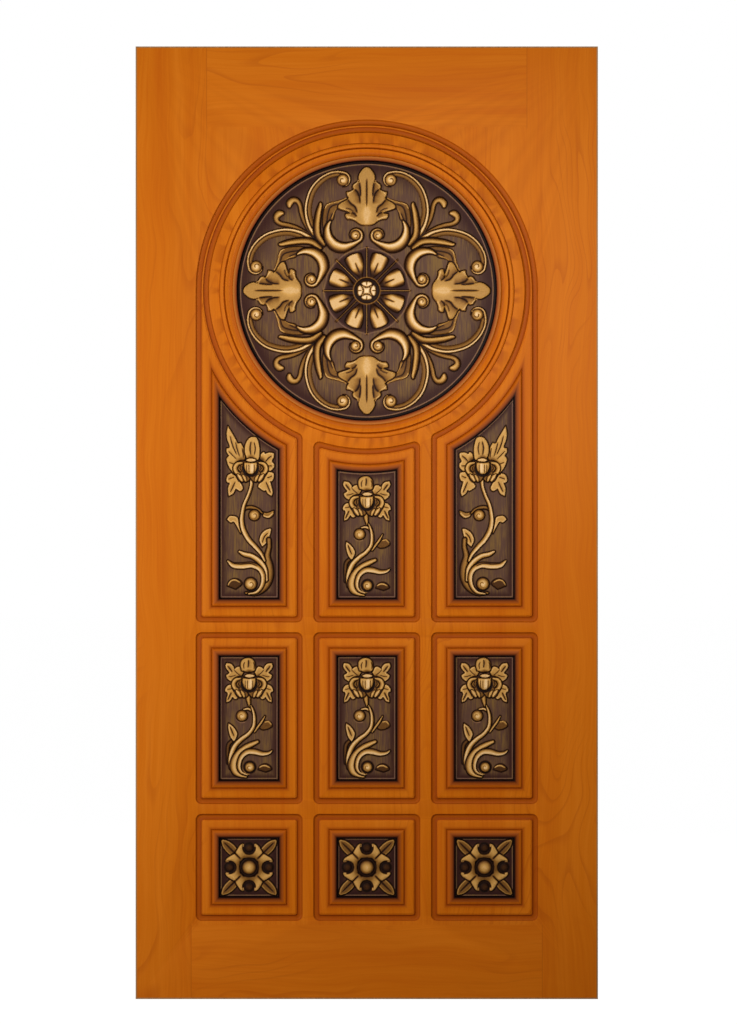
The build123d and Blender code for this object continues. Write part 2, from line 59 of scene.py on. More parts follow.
# Depths and the round frame's middle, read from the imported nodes, and the plates' and pockets' depths
skin_low, skin_high = corners("front_skin")
disc_low, disc_high = corners("medallion_plaque")
FACE_Y = corners("hinge_edge_band")[0][1]
CIRCLE_HEIGHT = (disc_low[2] + disc_high[2]) / 2
DISC_RADIUS = (disc_high[0] - disc_low[0]) / 2
PLATE_CLEARANCE = 0.4
PLATE_THICKNESS = 2.5
PLATE_Y = FACE_Y + PLATE_THICKNESS
POCKET_FLOOR = -5.0

# Layout of the mouldings
CIRCLE_BAND_RADIUS = 337.5
FRAME_INSET = 51.0
RIDGE_DROP = 1.0
RIDGE_INSET = 14.1
FRAME_START = 15.1
COLUMNS = ("left", "centre", "right")
side_plaques = ["flower_plaque_upper_left", "flower_plaque_upper_right"]
flower_plaques = [f"flower_plaque_{row}_{column}" for row in ("upper", "middle") for column in COLUMNS]
rosette_plaques = [f"rosette_plaque_{column}" for column in COLUMNS]

# Points along a rounded corner, a panel's bowed head, the arch, the arch's lower edge and the whole circle
CORNER_STEPS = 8
HEAD_STEPS = 30
ARCH_STEPS = 33
UNDER_STEPS = 50
CIRCLE_STEPS = 193


def panel_of(node):
    """A plaque's panel as left, right, foot and head. An upper one has no head: it follows the circle."""
    low, high = corners(node)
    edge = FRAME_INSET + PLATE_CLEARANCE
    head = None if "upper" in node else high[2] + edge
    return low[0] - edge, high[0] + edge, low[2] - edge, head


panels = {node: panel_of(node) for node in flower_plaques + rosette_plaques}
INNER_EDGE, ARCH_RADIUS, UPPER_FOOT, _ = panels[side_plaques[1]]


def bow(start, end, upright, count=6):
    """A quarter of an ellipse from start to end, without its start: cosine along one axis, sine along the
    other."""
    angle = np.linspace(0, math.pi / 2, count + 1)[1:]
    slow, quick = 1 - np.cos(angle), np.sin(angle)
    across, rise = (slow, quick) if upright else (quick, slow)
    return np.column_stack([start[0] + (end[0] - start[0]) * across, start[1] + (end[1] - start[1]) * rise])


# Sections as inset and rise over the face, from the groove's outer lip inwards to the pocket
groove_section = np.vstack([
    [(0, 0)],
    bow((0, 0), (1.4, -1.3), False, 3),
    bow((1.4, -1.3), (5.6, -4.5), True, 5),
    [(9.3, -4.5)],
    bow((9.3, -4.5), (12.2, -2.6), False, 3),
    bow((12.2, -2.6), (RIDGE_INSET, -RIDGE_DROP), True, 4),
])
frame_section = np.vstack([
    [(FRAME_START, -RIDGE_DROP)],
    bow((FRAME_START, -RIDGE_DROP), (16.6, 0.5), True, 4),
    [(21, 0.7), (27, 1.2), (32.6, 2.0)],
    bow((32.6, 2.0), (34.2, 0.4), False, 3),
    bow((34.6, 0.3), (41.2, 5.2), True, 7),
    [(41.8, 5.5), (49.8, 5.5)],
    bow((49.8, 5.5), (FRAME_INSET, 4.6), False, 3),
    [(FRAME_INSET, POCKET_FLOOR)],
])
bead_turn = np.linspace(math.pi, 0, 10)
round_section = np.vstack([
    [(278, POCKET_FLOOR), (278, 4.6), (278.4, 5.3), (279.2, 5.5), (286.6, 5.5)],
    bow((286.6, 5.5), (292.5, 1.4), True, 6),
    [(295, 1.8), (298, 3.1), (300.6, 4.5), (301.8, 4.95), (302.8, 4.8), (303.8, 3.6), (304.8, 1.1)],
    np.column_stack([310.8 + 5.3 * np.cos(bead_turn), 0.4 + 2.6 * np.sin(bead_turn)]),
    [(316.5, 0)],
])

# How round a moulding's corners are, as pairs of inset and radius
CORNER_RADII = ((0, 13), (5.6, 9), (9.3, 6.5), (RIDGE_INSET, 4.5), (16.6, 3.5), (33, 0.4), (FRAME_INSET, 0))
# Dark glaze with painted shade on a panel's moulding and on the round frame, as pairs of inset or radius and
# depth. The shade darkens the grooves, quirks and inward slopes. It is 0 on clean timber, brown to 0.6 and
# black at 1
PANEL_GLAZE_AND_SHADE = (
    (0, 0.1), (0.6, 0.42), (2, 0.36), (8, 0.36), (11, 0.5), (13, 0.42), (14.4, 0.05), (16, 0), (21, 0.03),
    (31, 0.12), (33, 0.45), (34.5, 0.42), (38, 0.25), (40.5, 0.25), (41.8, 0.45), (42.6, 0.15), (48, 0.15),
    (49.2, 0.85), (51, 1),
)
ROUND_GLAZE_AND_SHADE = (
    (278, 1), (279.2, 0.75), (280.5, 0.15), (286.6, 0.15), (288, 0.4), (290, 0.25), (293, 0.3), (296, 0.1),
    (301, 0), (303, 0.1), (304.5, 0.6), (306.5, 0.4), (308, 0), (313, 0.05), (315.5, 0.45), (316.5, 0.3),
)
# How far the fillet beside a plaque is rubbed to tan, in the same way
PANEL_RUB = ((41.6, 0), (42.6, 0.85), (47.6, 0.85), (48.8, 0))
ROUND_RUB = ((279.6, 0), (280.8, 0.85), (286.2, 0.85), (287.2, 0))


def level(place, pairs):
    """The amount at a place: straight lines between pairs of place and amount."""
    places, amounts = zip(*pairs)
    return np.interp(place, places, amounts)


def turn_about(centre, radius, start, end, count=CORNER_STEPS):
    """Points on an arc, its centre plus its radius times the cosine and sine of evenly spaced angles."""
    angle = np.linspace(start, end, count)
    return np.column_stack([centre[0] + radius * np.cos(angle), centre[1] + radius * np.sin(angle)])


def circle_corner(edge, inward, radius, reach):
    """The centre and end angle of the arc that rounds the corner between an upright edge and the round
    frame's circle. The centre is a radius in from the edge and a radius out from the circle."""
    x = edge + inward * radius
    z = CIRCLE_HEIGHT - math.sqrt(max((reach + radius) ** 2 - x * x, 0))
    return (x, z), math.atan2(CIRCLE_HEIGHT - z, -x)


def panel_rim(panel, inset):
    """A panel's outline drawn in by an inset: four rounded corners, with an arc of the circle as its head
    where it has none."""
    left, right, foot, head = panel
    left, right, foot = left + inset, right - inset, foot + inset
    radius = level(inset, CORNER_RADII)
    half = math.pi / 2
    runs = [
        turn_about((left + radius, foot + radius), radius, 2 * half, 3 * half),
        turn_about((right - radius, foot + radius), radius, 3 * half, 4 * half),
    ]
    if head is not None:
        head -= inset
        runs.append(turn_about((right - radius, head - radius), radius, 0, half))
        runs.append(turn_about((left + radius, head - radius), radius, half, 2 * half))
        return np.vstack(runs)
    reach = CIRCLE_BAND_RADIUS + inset
    ends = []
    for edge, inward in ((right, -1), (left, 1)):
        turn = 0 if abs(edge) > ARCH_RADIUS - FRAME_INSET - 1 else radius
        ends.append((*circle_corner(edge, inward, turn, reach), turn))
    (centre, away, turn), (last_centre, last_away, last_turn) = ends
    runs.append(turn_about(centre, turn, 0, away))
    bowed = turn_about((0, CIRCLE_HEIGHT), reach, away - math.pi, last_away - math.pi, HEAD_STEPS)
    runs.append(bowed[1:-1])
    runs.append(turn_about(last_centre, last_turn, last_away, math.pi))
    return np.vstack(runs)


def horseshoe_rim(inset):
    """The outline of the side panels and the arch over the circle, drawn in by an inset."""
    side, inner, foot = ARCH_RADIUS - inset, INNER_EDGE + inset, UPPER_FOOT + inset
    reach = CIRCLE_BAND_RADIUS + inset
    radius = level(inset, CORNER_RADII)
    half = math.pi / 2
    spring, away = circle_corner(inner, 1, radius, reach)
    outer = np.vstack([
        turn_about((inner + radius, foot + radius), radius, 2 * half, 3 * half),
        turn_about((side - radius, foot + radius), radius, 3 * half, 4 * half),
        turn_about((0, CIRCLE_HEIGHT), side, 0, half, ARCH_STEPS),
    ])
    under = np.vstack([
        turn_about((0, CIRCLE_HEIGHT), reach, half, away - math.pi, UNDER_STEPS)[:-1],
        turn_about(spring, radius, away, 2 * half),
    ])
    mirror = np.array([-1, 1])
    return np.vstack([outer, (outer[::-1] * mirror)[1:], under[::-1] * mirror, under[1:]])


def circle_rim(radius):
    """A circle about the round frame's middle."""
    return turn_about((0, CIRCLE_HEIGHT), radius, 0, 2 * math.pi, CIRCLE_STEPS)[:-1]


def ring_faces(rows, columns):
    """The quads between rows of closed rings, as rows of corner numbers."""
    row, column = np.meshgrid(np.arange(rows - 1), np.arange(columns), indexing="ij")
    after = (column + 1) % columns
    near, far = row * columns, (row + 1) * columns
    return np.stack([near + column, near + after, far + after, far + column], axis=-1).reshape(-1, 4)


def inside_rim(spots, rim):
    """Whether each spot is inside an outline: a level line from it crosses the outline's edges an odd number
    of times."""
    x, z = spots[:, :1], spots[:, 1:]
    start, end = rim, np.roll(rim, -1, axis=0)
    spans = (start[:, 1] > z) != (end[:, 1] > z)
    fall = np.where(end[:, 1] == start[:, 1], 1, end[:, 1] - start[:, 1])
    crossing = start[:, 0] + (z - start[:, 1]) * (end[:, 0] - start[:, 0]) / fall
    return np.sum(spans & (x < crossing), axis=1) % 2 == 1


class Shell:
    """Points, faces and glaze with painted shade gathered for one closed piece."""

    def __init__(self):
        self.points, self.faces, self.glaze, self.count = [], [], [], 0

    def add(self, points, faces, glaze):
        """Add points in millimetres, the faces on them, and their glaze with painted shade, and rub."""
        self.points.append(points)
        self.glaze.append(np.broadcast_to(glaze, (len(points), 2)))
        self.faces += [[corner + self.count for corner in face] for face in np.asarray(faces).tolist()]
        self.count += len(points)

    def moulding(self, section, rim, glaze, rub):
        """A section carried round an outline: for each inset and rise of it, the outline at that inset."""
        rings = [rim(inset) for inset, _ in section]
        points = np.concatenate([
            np.column_stack([ring[:, 0], np.full(len(ring), FACE_Y - rise), ring[:, 1]])
            for ring, (_, rise) in zip(rings, section)
        ])
        depth = np.column_stack([level(section[:, 0], glaze), level(section[:, 0], rub)])
        self.add(points, ring_faces(len(section), len(rings[0])), np.repeat(depth, len(rings[0]), axis=0))

    def sheet(self, rims, rise):
        """A flat sheet at a rise, inside an odd number of the outlines: Delaunay triangles on the outlines'
        points."""
        rims = [rim[np.any(np.abs(rim - np.roll(rim, 1, axis=0)) > SAME_SPOT, axis=1)] for rim in rims]
        starts = np.cumsum([0] + [len(rim) for rim in rims])
        edges = [
            (start + step, start + (step + 1) % len(rim))
            for start, rim in zip(starts, rims)
            for step in range(len(rim))
        ]
        flat = [Vector(point) for point in np.vstack(rims).tolist()]
        found = geometry.delaunay_2d_cdt(flat, edges, [], 0, TOUCHING)
        spots, triangles = np.array([tuple(spot) for spot in found[0]]), np.array(found[2])
        middle = spots[triangles].mean(axis=1)
        inside = sum(inside_rim(middle, rim).astype(int) for rim in rims) % 2 == 1
        points = np.column_stack([spots[:, 0], np.full(len(spots), FACE_Y - rise), spots[:, 1]])
        self.add(points, triangles[inside], (0, 0))

    def cap(self, rim, y):
        """One flat face over an outline at a depth y, black in the glaze-and-shade mark."""
        points = np.column_stack([rim[:, 0], np.full(len(rim), y), rim[:, 1]])
        self.add(points, [list(range(len(rim)))], (1, 0))


# Points of one outline nearer than SAME_SPOT, in millimetres, are one point, and two outlines that come
# nearer than TOUCHING meet. Points of a piece nearer than WELD, in metres, are joined, and edges shorter than
# SLIVER are taken out
SAME_SPOT, TOUCHING = 1e-4, 1e-6
WELD, SLIVER = 2e-6, 1e-7


def piece(name, points, faces, material, marks, merge=False, sharp=None):
    """Make an object from points in millimetres, with a value at each point for each mark."""
    mesh = bpy.data.meshes.new(name)
    mesh.from_pydata((np.asarray(points) * MM).tolist(), [], faces)
    for mark, values in marks.items():
        carried = mesh.attributes.new(mark, "FLOAT", "POINT")
        carried.data.foreach_set("value", np.asarray(values, np.float32))
    work = bmesh.new()
    work.from_mesh(mesh)
    if merge:
        bmesh.ops.remove_doubles(work, verts=work.verts, dist=WELD)
        bmesh.ops.dissolve_degenerate(work, edges=work.edges, dist=SLIVER)
    bmesh.ops.recalc_face_normals(work, faces=work.faces)
    work.to_mesh(mesh)
    work.free()
    mesh.shade_smooth()
    if sharp is not None:
        mesh.set_sharp_from_angle(angle=sharp)
    mesh.materials.append(material)
    made = bpy.data.objects.new(name, mesh)
    bpy.context.scene.collection.objects.link(made)
    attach(made, "root")
    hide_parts(name.replace("dressed_", ""))


class Flow:
    """A socket in a tree of nodes. Arithmetic on it adds Math nodes."""

    def __init__(self, nodes, socket):
        self.nodes, self.socket = nodes, socket

    def maths(self, operation, *others):
        return self.nodes.maths(operation, self, *others)

    def __add__(self, other):
        return self.maths("ADD", other)

    def __sub__(self, other):
        return self.maths("SUBTRACT", other)

    def __rsub__(self, other):
        return self.nodes.maths("SUBTRACT", other, self)

    def __mul__(self, other):
        return self.maths("MULTIPLY", other)

    __radd__, __rmul__ = __add__, __mul__

    def above(self, low, high):
        """0 under low and 1 over high, with a smooth change between them."""
        inputs = {"Value": self, "From Min": low, "From Max": high}
        return self.nodes.node("ShaderNodeMapRange", {"interpolation_type": "SMOOTHSTEP"}, inputs)

    def near(self, place, core, reach):
        """1 within core of a place and 0 past reach of it."""
        return 1 - (self - place).maths("ABSOLUTE").above(core, reach)


class Nodes:
    """A tree of shader nodes."""

    def __init__(self, tree):
        self.tree = tree

    def node(self, kind, settings=None, inputs=None, output=None):
        """Add a node with its settings, then the values or links of its sockets. Gives the output of that
        name, or its first one."""
        made = self.tree.nodes.new(kind)
        for key, value in (settings or {}).items():
            if key == "stops":
                ramp = made.color_ramp
                while len(ramp.elements) < len(value):
                    ramp.elements.new(0.5)
                for element, (place, colour) in zip(ramp.elements, value):
                    element.position, element.color = place, (*colour, 1)
            else:
                setattr(made, key, value)
        for key, value in (inputs or {}).items():
            named = [socket for socket in made.inputs if socket.enabled and socket.name == key]
            self.feed(named[0] if named else made.inputs[key], value)
        outputs = [socket for socket in made.outputs if socket.enabled and output in (None, socket.name)]
        return Flow(self, outputs[0])

    def feed(self, socket, value):
        """Link a flow to a socket, or set the socket's own value."""
        if isinstance(value, Flow):
            self.tree.links.new(value.socket, socket)
        elif isinstance(value, tuple) and len(value) == 3 and socket.type == "RGBA":
            socket.default_value = (*value, 1)
        else:
            socket.default_value = value

    def maths(self, operation, *values):
        return self.node("ShaderNodeMath", {"operation": operation}, dict(enumerate(values)))

    def ray(self, kind):
        """1 where the ray that looks at a surface is of a kind, and 0 where it isn't."""
        return self.node("ShaderNodeLightPath", output=f"Is {kind} Ray")

    def blend(self, share, first, second):
        """One shader over another, by a share."""
        return self.node("ShaderNodeMixShader", None, {0: share, 1: first, 2: second})


class Finish(Nodes):
    """A material and the nodes that give it its look."""

    def __init__(self, name):
        self.material = bpy.data.materials.new(name)
        self.material.use_nodes = True
        super().__init__(self.material.node_tree)
        self.shader = self.tree.nodes["Principled BSDF"]

    def mark(self, name):
        """A value that the mesh carries at its points."""
        return self.node("ShaderNodeAttribute", {"attribute_name": name}, output="Fac")

    def mix(self, amount, first, second):
        """One colour over another, by an amount."""
        return self.node("ShaderNodeMix", {"data_type": "RGBA"}, {"Factor": amount, "A": first, "B": second})

    def ramp(self, place, *stops):
        """A colour from stops, each a place and a colour, with straight changes between them."""
        return self.node("ShaderNodeValToRGB", {"stops": stops}, {"Fac": place})

    def places(self):
        """The object's own x, y and z."""
        where = self.node("ShaderNodeTexCoord", output="Object")
        split = self.node("ShaderNodeSeparateXYZ", None, {"Vector": where})
        return [Flow(self, socket) for socket in split.socket.node.outputs]

    def noise(self, x, y, z, detail=3.0, rough=0.55, scale=1.0):
        """Fractal noise at a place, from 0 to 1."""
        where = self.node("ShaderNodeCombineXYZ", None, {"X": x, "Y": y, "Z": z})
        inputs = {"Vector": where, "Scale": scale, "Detail": detail, "Roughness": rough}
        return self.node("ShaderNodeTexNoise", None, inputs)

    def bump(self, height, strength, distance):
        """A normal that a height bends."""
        inputs = {"Height": height, "Strength": strength, "Distance": distance}
        return self.node("ShaderNodeBump", None, inputs)

    def set(self, base, rough, normal, shine):
        """Give the shader its colour, its roughness, its normal and the strength of its reflection."""
        values = {"Base Color": base, "Roughness": rough, "Normal": normal, "Specular IOR Level": shine}
        for key, value in values.items():
            self.feed(self.shader.inputs[key], value)
        return self.material


def colour(red, green, blue):
    """A colour written as it looks on a screen, from 0 to 255, as the linear light that a shader takes: the
    share of 255 over 12.92 where it is small, and else the share and 0.055, over 1.055, to the power 2.4."""
    light = np.array([red, green, blue]) / 255
    return tuple(np.where(light <= 0.04045, light / 12.92, ((light + 0.055) / 1.055) ** 2.4).tolist())


# Where the rails meet the stiles and the panels, in metres, and how sharply the grain turns there
TOP_RAIL_FOOT, TOP_JOINT = 1.87, 0.343
BOTTOM_RAIL_HEAD, BOTTOM_JOINT = 0.1585, 0.376
TURN = 0.0005
# Half widths of a hairline joint, where it is darkest and where it ends, and how far under the top rail's
# foot it fades in
SEAM_CORE, SEAM_REACH = 0.0004, 0.0014
SEAM_FADE = 0.01
# How strongly satin and sawn surfaces reflect
SATIN, SAWN = 0.07, 0.25


def wood_finish(name, glazed_and_shaded=True):
    """Satin orange timber with a faint grain, upright on the stiles and lying on the rails. Glazed and shaded
    timber has a brown to black glaze with painted shade in its mouldings and a fillet rubbed to tan."""
    wood = Finish(name)
    x, y, z = wood.places()
    out = x.maths("ABSOLUTE")
    top_rail = z.above(TOP_RAIL_FOOT - 4 * TURN, TOP_RAIL_FOOT + 4 * TURN)
    bottom_rail = 1 - z.above(BOTTOM_RAIL_HEAD - 2 * TURN, BOTTOM_RAIL_HEAD + 2 * TURN)
    lying = top_rail * (1 - out.above(TOP_JOINT - TURN, TOP_JOINT + TURN))
    lying = lying + bottom_rail * (1 - out.above(BOTTOM_JOINT - TURN, BOTTOM_JOINT + TURN))
    across = lying * z + (1 - lying) * x
    along = lying * x + (1 - lying) * z
    # Each noise is finer across the grain than along it. The factors are how often it varies in a metre
    wander = wood.noise(across * 3.0, y, along * 1.3, 2.0, scale=1.6)
    bent = across + wander * 0.09 + lying * 3.1
    fibres = wood.noise(bent * 330, y * 30, along * 7, 2.0, 0.5)
    bands = wood.noise(bent * 24, y * 3, along * 0.9, 2.0)
    broad = wood.noise(across * 5, y, along * 1.6, 1.0)
    figure = wood.noise(bent * 6 + wander, y, along * 0.7, 1.0)
    arcs = (figure * 26.0).maths("FRACT")
    line = arcs.above(0.72, 0.97) * (1 - arcs.above(0.97, 1.0)) * broad.above(0.44, 0.62)
    tone = 0.3 * fibres + 0.4 * bands + 0.3 * broad
    base = wood.ramp(
        tone,
        (0.34, colour(197, 96, 4)), (0.5, colour(206, 108, 8)), (0.66, colour(214, 117, 18)),
    )
    base = wood.mix(line * 0.3, base, colour(164, 68, 3))
    seams = z.above(TOP_RAIL_FOOT - SEAM_FADE, TOP_RAIL_FOOT) * out.near(TOP_JOINT, SEAM_CORE, SEAM_REACH)
    low = 1 - z.above(BOTTOM_RAIL_HEAD - TURN, BOTTOM_RAIL_HEAD + 3 * TURN)
    seams = seams + low * out.near(BOTTOM_JOINT, SEAM_CORE, SEAM_REACH)
    base = wood.mix(seams * 0.35, base, colour(150, 62, 2))
    if glazed_and_shaded:
        # The glaze-and-shade mark: brown glaze and painted shade in the mouldings' grooves and quirks, black
        # at the pocket's edge
        depth = wood.mark("glaze")
        base = wood.mix(depth.above(-0.1, 0.62), base, colour(148, 60, 0))
        base = wood.mix(depth.above(0.5, 1.0), base, colour(26, 4, 1))
        base = wood.mix(wood.mark("rub"), base, colour(178, 120, 58))
    return wood.set(base, 0.44 + 0.1 * fibres, wood.bump(fibres, 0.06, 0.0004), SATIN)


def plain_finish(name, light, dark):
    """Sawn or banded timber with upright grain, between two tones."""
    plain = Finish(name)
    x, y, z = plain.places()
    grain = plain.noise(x * 240, y * 240, z * 5)
    base = plain.ramp(grain, (0.3, dark), (0.7, light))
    return plain.set(base, 0.5 + 0.1 * grain, plain.bump(grain, 0.1, 0.0005), SAWN)


def gilt_finish(name):
    """Antique gold rubbed over a dark wash: crests bright, grooves dark, and upright dry strokes on a
    purple-brown ground. The gold mark also carries painted highlights and painted shadows."""
    gilt = Finish(name)
    x, y, z = gilt.places()
    gold, ground = gilt.mark("gold"), gilt.mark("ground")
    strokes = gilt.noise(x * 620, y * 40, z * 30, 2.0, 0.5)
    patches = gilt.noise(x * 30, y, z * 16, 2.0)
    speck = gilt.noise(x * 320, y * 320, z * 320, 2.0)
    rubbed = gilt.ramp(
        gold + (speck - 0.5) * 0.14,
        (0.0, colour(14, 2, 0)), (0.16, colour(46, 22, 6)), (0.35, colour(92, 56, 22)),
        (0.55, colour(148, 101, 42)), (0.78, colour(208, 156, 82)), (1.0, colour(250, 214, 164)),
    )
    bare = gilt.ramp(
        gold,
        (0.0, colour(12, 2, 2)), (0.25, colour(56, 28, 22)), (0.5, colour(94, 65, 50)),
        (0.85, colour(144, 102, 84)),
    )
    dry = (strokes * 0.7 + patches * 0.6).above(0.56, 0.86) * gold.above(0.2, 0.5)
    base = gilt.mix(ground, rubbed, gilt.mix(dry * 0.7, bare, colour(132, 98, 44)))
    height = strokes * ground + speck * 0.25
    return gilt.set(base, 0.5 - 0.12 * gold, gilt.bump(height, 0.2, 0.0004), SATIN)


wood = wood_finish("stained_timber_face")
gilt = gilt_finish("antique_gold_carving")

# Moulded face: a flat sheet with holes, the mouldings in them, and the board's sides and back
SHARP_EDGE = math.radians(32)
face = Shell()
(left, _, foot), (right, back, head) = skin_low, skin_high
board = np.array([(left, foot), (right, foot), (right, head), (left, head)])
joined = [partial(panel_rim, panels[node]) for node in panels if node in side_plaques]
framed = [partial(panel_rim, panels[node]) for node in panels if node not in side_plaques]
openings = [horseshoe_rim(0), circle_rim(round_section[-1, 0]), *[rim(0) for rim in framed]]
face.sheet([board, *openings], 0)
face.moulding(groove_section, horseshoe_rim, PANEL_GLAZE_AND_SHADE, PANEL_RUB)
face.sheet([horseshoe_rim(RIDGE_INSET), *[rim(FRAME_START) for rim in joined]], -RIDGE_DROP)
for rim in joined:
    face.moulding(frame_section, rim, PANEL_GLAZE_AND_SHADE, PANEL_RUB)
for rim in framed:
    face.moulding(np.vstack([groove_section, frame_section]), rim, PANEL_GLAZE_AND_SHADE, PANEL_RUB)
# Pockets' floors, black in the glaze-and-shade mark as painted shade under the plates
for panel in panels.values():
    face.cap(panel_rim(panel, FRAME_INSET), FACE_Y - POCKET_FLOOR)
face.moulding(round_section, circle_rim, ROUND_GLAZE_AND_SHADE, ROUND_RUB)
face.cap(circle_rim(round_section[0, 0]), FACE_Y - POCKET_FLOOR)
sides = [np.column_stack([board[:, 0], np.full(4, y), board[:, 1]]) for y in (FACE_Y, back)]
face.add(np.concatenate(sides), ring_faces(2, 4), (0, 0))
face.cap(board, back)
glaze, rub = np.vstack(face.glaze).T
piece(
    "dressed_front_skin", np.vstack(face.points), face.faces, wood, {"glaze": glaze, "rub": rub},
    merge=True, sharp=SHARP_EDGE,
)


def curve(route, steps=7):
    """A smooth line through a route's points: a Catmull-Rom cubic between each two, over all their values."""
    points = np.array(route, float)
    padded = np.vstack([2 * points[0] - points[1], points, 2 * points[-1] - points[-2]])
    before, start, end, after = (padded[i : len(points) - 1 + i, None] for i in range(4))
    t = np.linspace(0, 1, steps, endpoint=False)[None, :, None]
    square = 2 * before - 5 * start + 4 * end - after
    cube = 3 * (start - end) + after - before
    line = start + 0.5 * t * ((end - before) + t * (square + t * cube))
    return np.vstack([line.reshape(-1, points.shape[1]), points[-1:]])


def closed(runs):
    """A closed outline from smooth runs. Each begins at a corner and ends at the next one's first point."""
    following = runs[1:] + runs[:1]
    return np.vstack([curve([*run, after[0]])[:-1] for run, after in zip(runs, following)])


def smooth(value, low, high):
    """0 under low and 1 over high. Between them it is the share of the way squared, times three less twice
    the share."""
    t = np.clip((value - low) / (high - low), 0, 1)
    return t * t * (3 - 2 * t)


def flip(mirror, route):
    """A route, or its mirror image where mirror is -1."""
    return [(mirror * x, *rest) for x, *rest in route]


# The thinnest half width of a strap, the least gold on a shape, and the share of its height that a shape has
# at its edge
THINNEST = 0.7
LEAST_GOLD = 0.02
EDGE_SHARE = 0.45
# The groove round a shape: how far out it stays full, as a share of its width, and how much of the height and
# of the gold under it it takes away
GROOVE_FULL = 0.35
GROOVE_CUT, GROOVE_DARK = 0.55, 0.97
# The gold on a strap's crest and on a leaf, the place and width of a leaf's pale rim, which is a painted
# highlight, and the share of its gold that a leaf keeps at its dark end
STRAP_GOLD, LEAF_GOLD = 0.95, 0.9
RIM_INSET, RIM_WIDTH = 1.9, 1.1
DARK_END = 0.25


class Relief:
    """A carved plate, worked from the back to the front on a grid of x and z in millimetres.

    rise is the height over the plate, gold how bright the gilding is, with painted highlights and painted
    shadows in it, and ground is 1 where the bare plate shows. Each shape is laid over what is under it, in a
    dark groove of its own. A route's points are x, z and the half width there.
    """

    def __init__(self, x, z, shade):
        self.x, self.z = x, z
        self.rise, self.gold, self.ground = np.zeros_like(x), shade.copy(), np.ones_like(x)

    def lay(self, where, edge, rise, gold, groove):
        """Lay a shape where its edge distance is negative, and cut a groove round it."""
        inside = smooth(-edge, -0.5, 0.5)
        cut = (1 - smooth(edge, GROOVE_FULL * groove, groove)) * (1 - inside)
        under = self.rise[where] * (1 - GROOVE_CUT * cut)
        self.rise[where] = rise * inside + under * (1 - inside)
        dark = self.gold[where] * (1 - GROOVE_DARK * cut)
        self.gold[where] = np.clip(gold, LEAST_GOLD, 1) * inside + dark * (1 - inside)
        self.ground[where] *= (1 - inside) * (1 - smooth(cut, 0.05, 0.5))

    def measure(self, line, reach):
        """The points within reach of a line, and for each its distance past the line's half width, its
        distance to the line's left, the half width there, and the share of the line that comes before it."""
        low, high = line[:, :2].min(0) - reach, line[:, :2].max(0) + reach
        inside = (self.x > low[0]) & (self.x < high[0]) & (self.z > low[1]) & (self.z < high[1])
        where = np.flatnonzero(inside)
        start, run = line[:-1], np.diff(line, axis=0)
        away_x, away_z = self.x[where, None] - start[:, 0], self.z[where, None] - start[:, 1]
        length = run[:, 0] ** 2 + run[:, 1] ** 2
        share = np.clip((away_x * run[:, 0] + away_z * run[:, 1]) / length, 0, 1)
        away_x, away_z = away_x - share * run[:, 0], away_z - share * run[:, 1]
        width = start[:, 2] + share * run[:, 2]
        edges = np.hypot(away_x, away_z) - width
        nearest = np.argmin(edges, axis=1)
        pick = (np.arange(len(where)), nearest)
        side = np.sign(run[nearest, 0] * away_z[pick] - run[nearest, 1] * away_x[pick])
        left = side * np.hypot(away_x[pick], away_z[pick])
        return where, edges[pick], left, width[pick], (nearest + share[pick]) / len(run)

    def strap(self, route, height, root=EDGE_SHARE, crest=0, sharp=0.5, tone=1, dim=0.2, fade=0, groove=3):
        """Lay a strap. Its body is 1 on the crest and 0 at both edges: 1 less the square of the share of the
        way, to a power. The rise follows the body, and the gold its square."""
        line = curve(route)
        line[:, 2] = np.maximum(line[:, 2], THINNEST)
        where, edge, left, width, along = self.measure(line, line[:, 2].max() + groove)
        t = left / width
        u = np.clip(np.where(t < crest, (crest - t) / (1 + crest), (t - crest) / (1 - crest)), 0, 1)
        body = (1 - u * u) ** sharp
        gold = tone * (dim + (STRAP_GOLD - dim) * body**2) * (1 - fade * (1 - along))
        self.lay(where, edge, height * (root + (1 - root) * body), gold, groove)

    def patch(self, runs, height, tone=0.8, soft=4, rim=0.2, dim=0.35, groove=3.2, dark_end=None):
        """Lay a leaf inside an outline of smooth runs. It rounds up from its edge as a quarter circle and has
        a pale rim, a painted highlight. dark_end is a point and a reach: the leaf is dark there and lighter
        towards the reach."""
        outline = closed(runs)
        ring = np.column_stack([np.vstack([outline, outline[:1]]), np.zeros(len(outline) + 1)])
        where, edge, *_ = self.measure(ring, groove + 0.5)
        inside = inside_rim(np.column_stack([self.x[where], self.z[where]]), outline)
        depth = np.where(inside, edge, -edge)
        body = np.sqrt(1 - (1 - np.clip(depth / soft, 0, 1)) ** 2)
        # The pale rim: a painted highlight just inside the leaf's edge
        bright = np.exp(-(((depth - RIM_INSET) / RIM_WIDTH) ** 2))
        gold = tone * (dim + (LEAF_GOLD - dim) * body) + rim * bright
        if dark_end:
            x, z, reach = dark_end
            away = smooth(np.hypot(self.x[where] - x, self.z[where] - z), 0, reach)
            gold *= DARK_END + (1 - DARK_END) * away
        self.lay(where, -depth, height * (EDGE_SHARE + (1 - EDGE_SHARE) * body), gold, groove)

    def vein(self, route, deep=1.2, shade=0, reach=5):
        """Cut a rounded V along a route, a bell curve of the distance over the half width. shade is a painted
        shadow that dims what is left of it, less and less over the reach."""
        line = curve(route)
        where, _, left, width, along = self.measure(line, reach * 1.5)
        cut = np.exp(-((left / width) ** 2))
        dimmed = shade * np.exp(-np.abs(left) / reach) * smooth(left, -0.4, 0.8)
        ends = smooth(along, 0, 0.15) * smooth(1 - along, 0, 0.15)
        self.rise[where] = np.maximum(self.rise[where] - deep * cut * ends, 0)
        self.gold[where] *= 1 - np.clip(0.88 * cut + dimmed, 0, 0.95) * ends

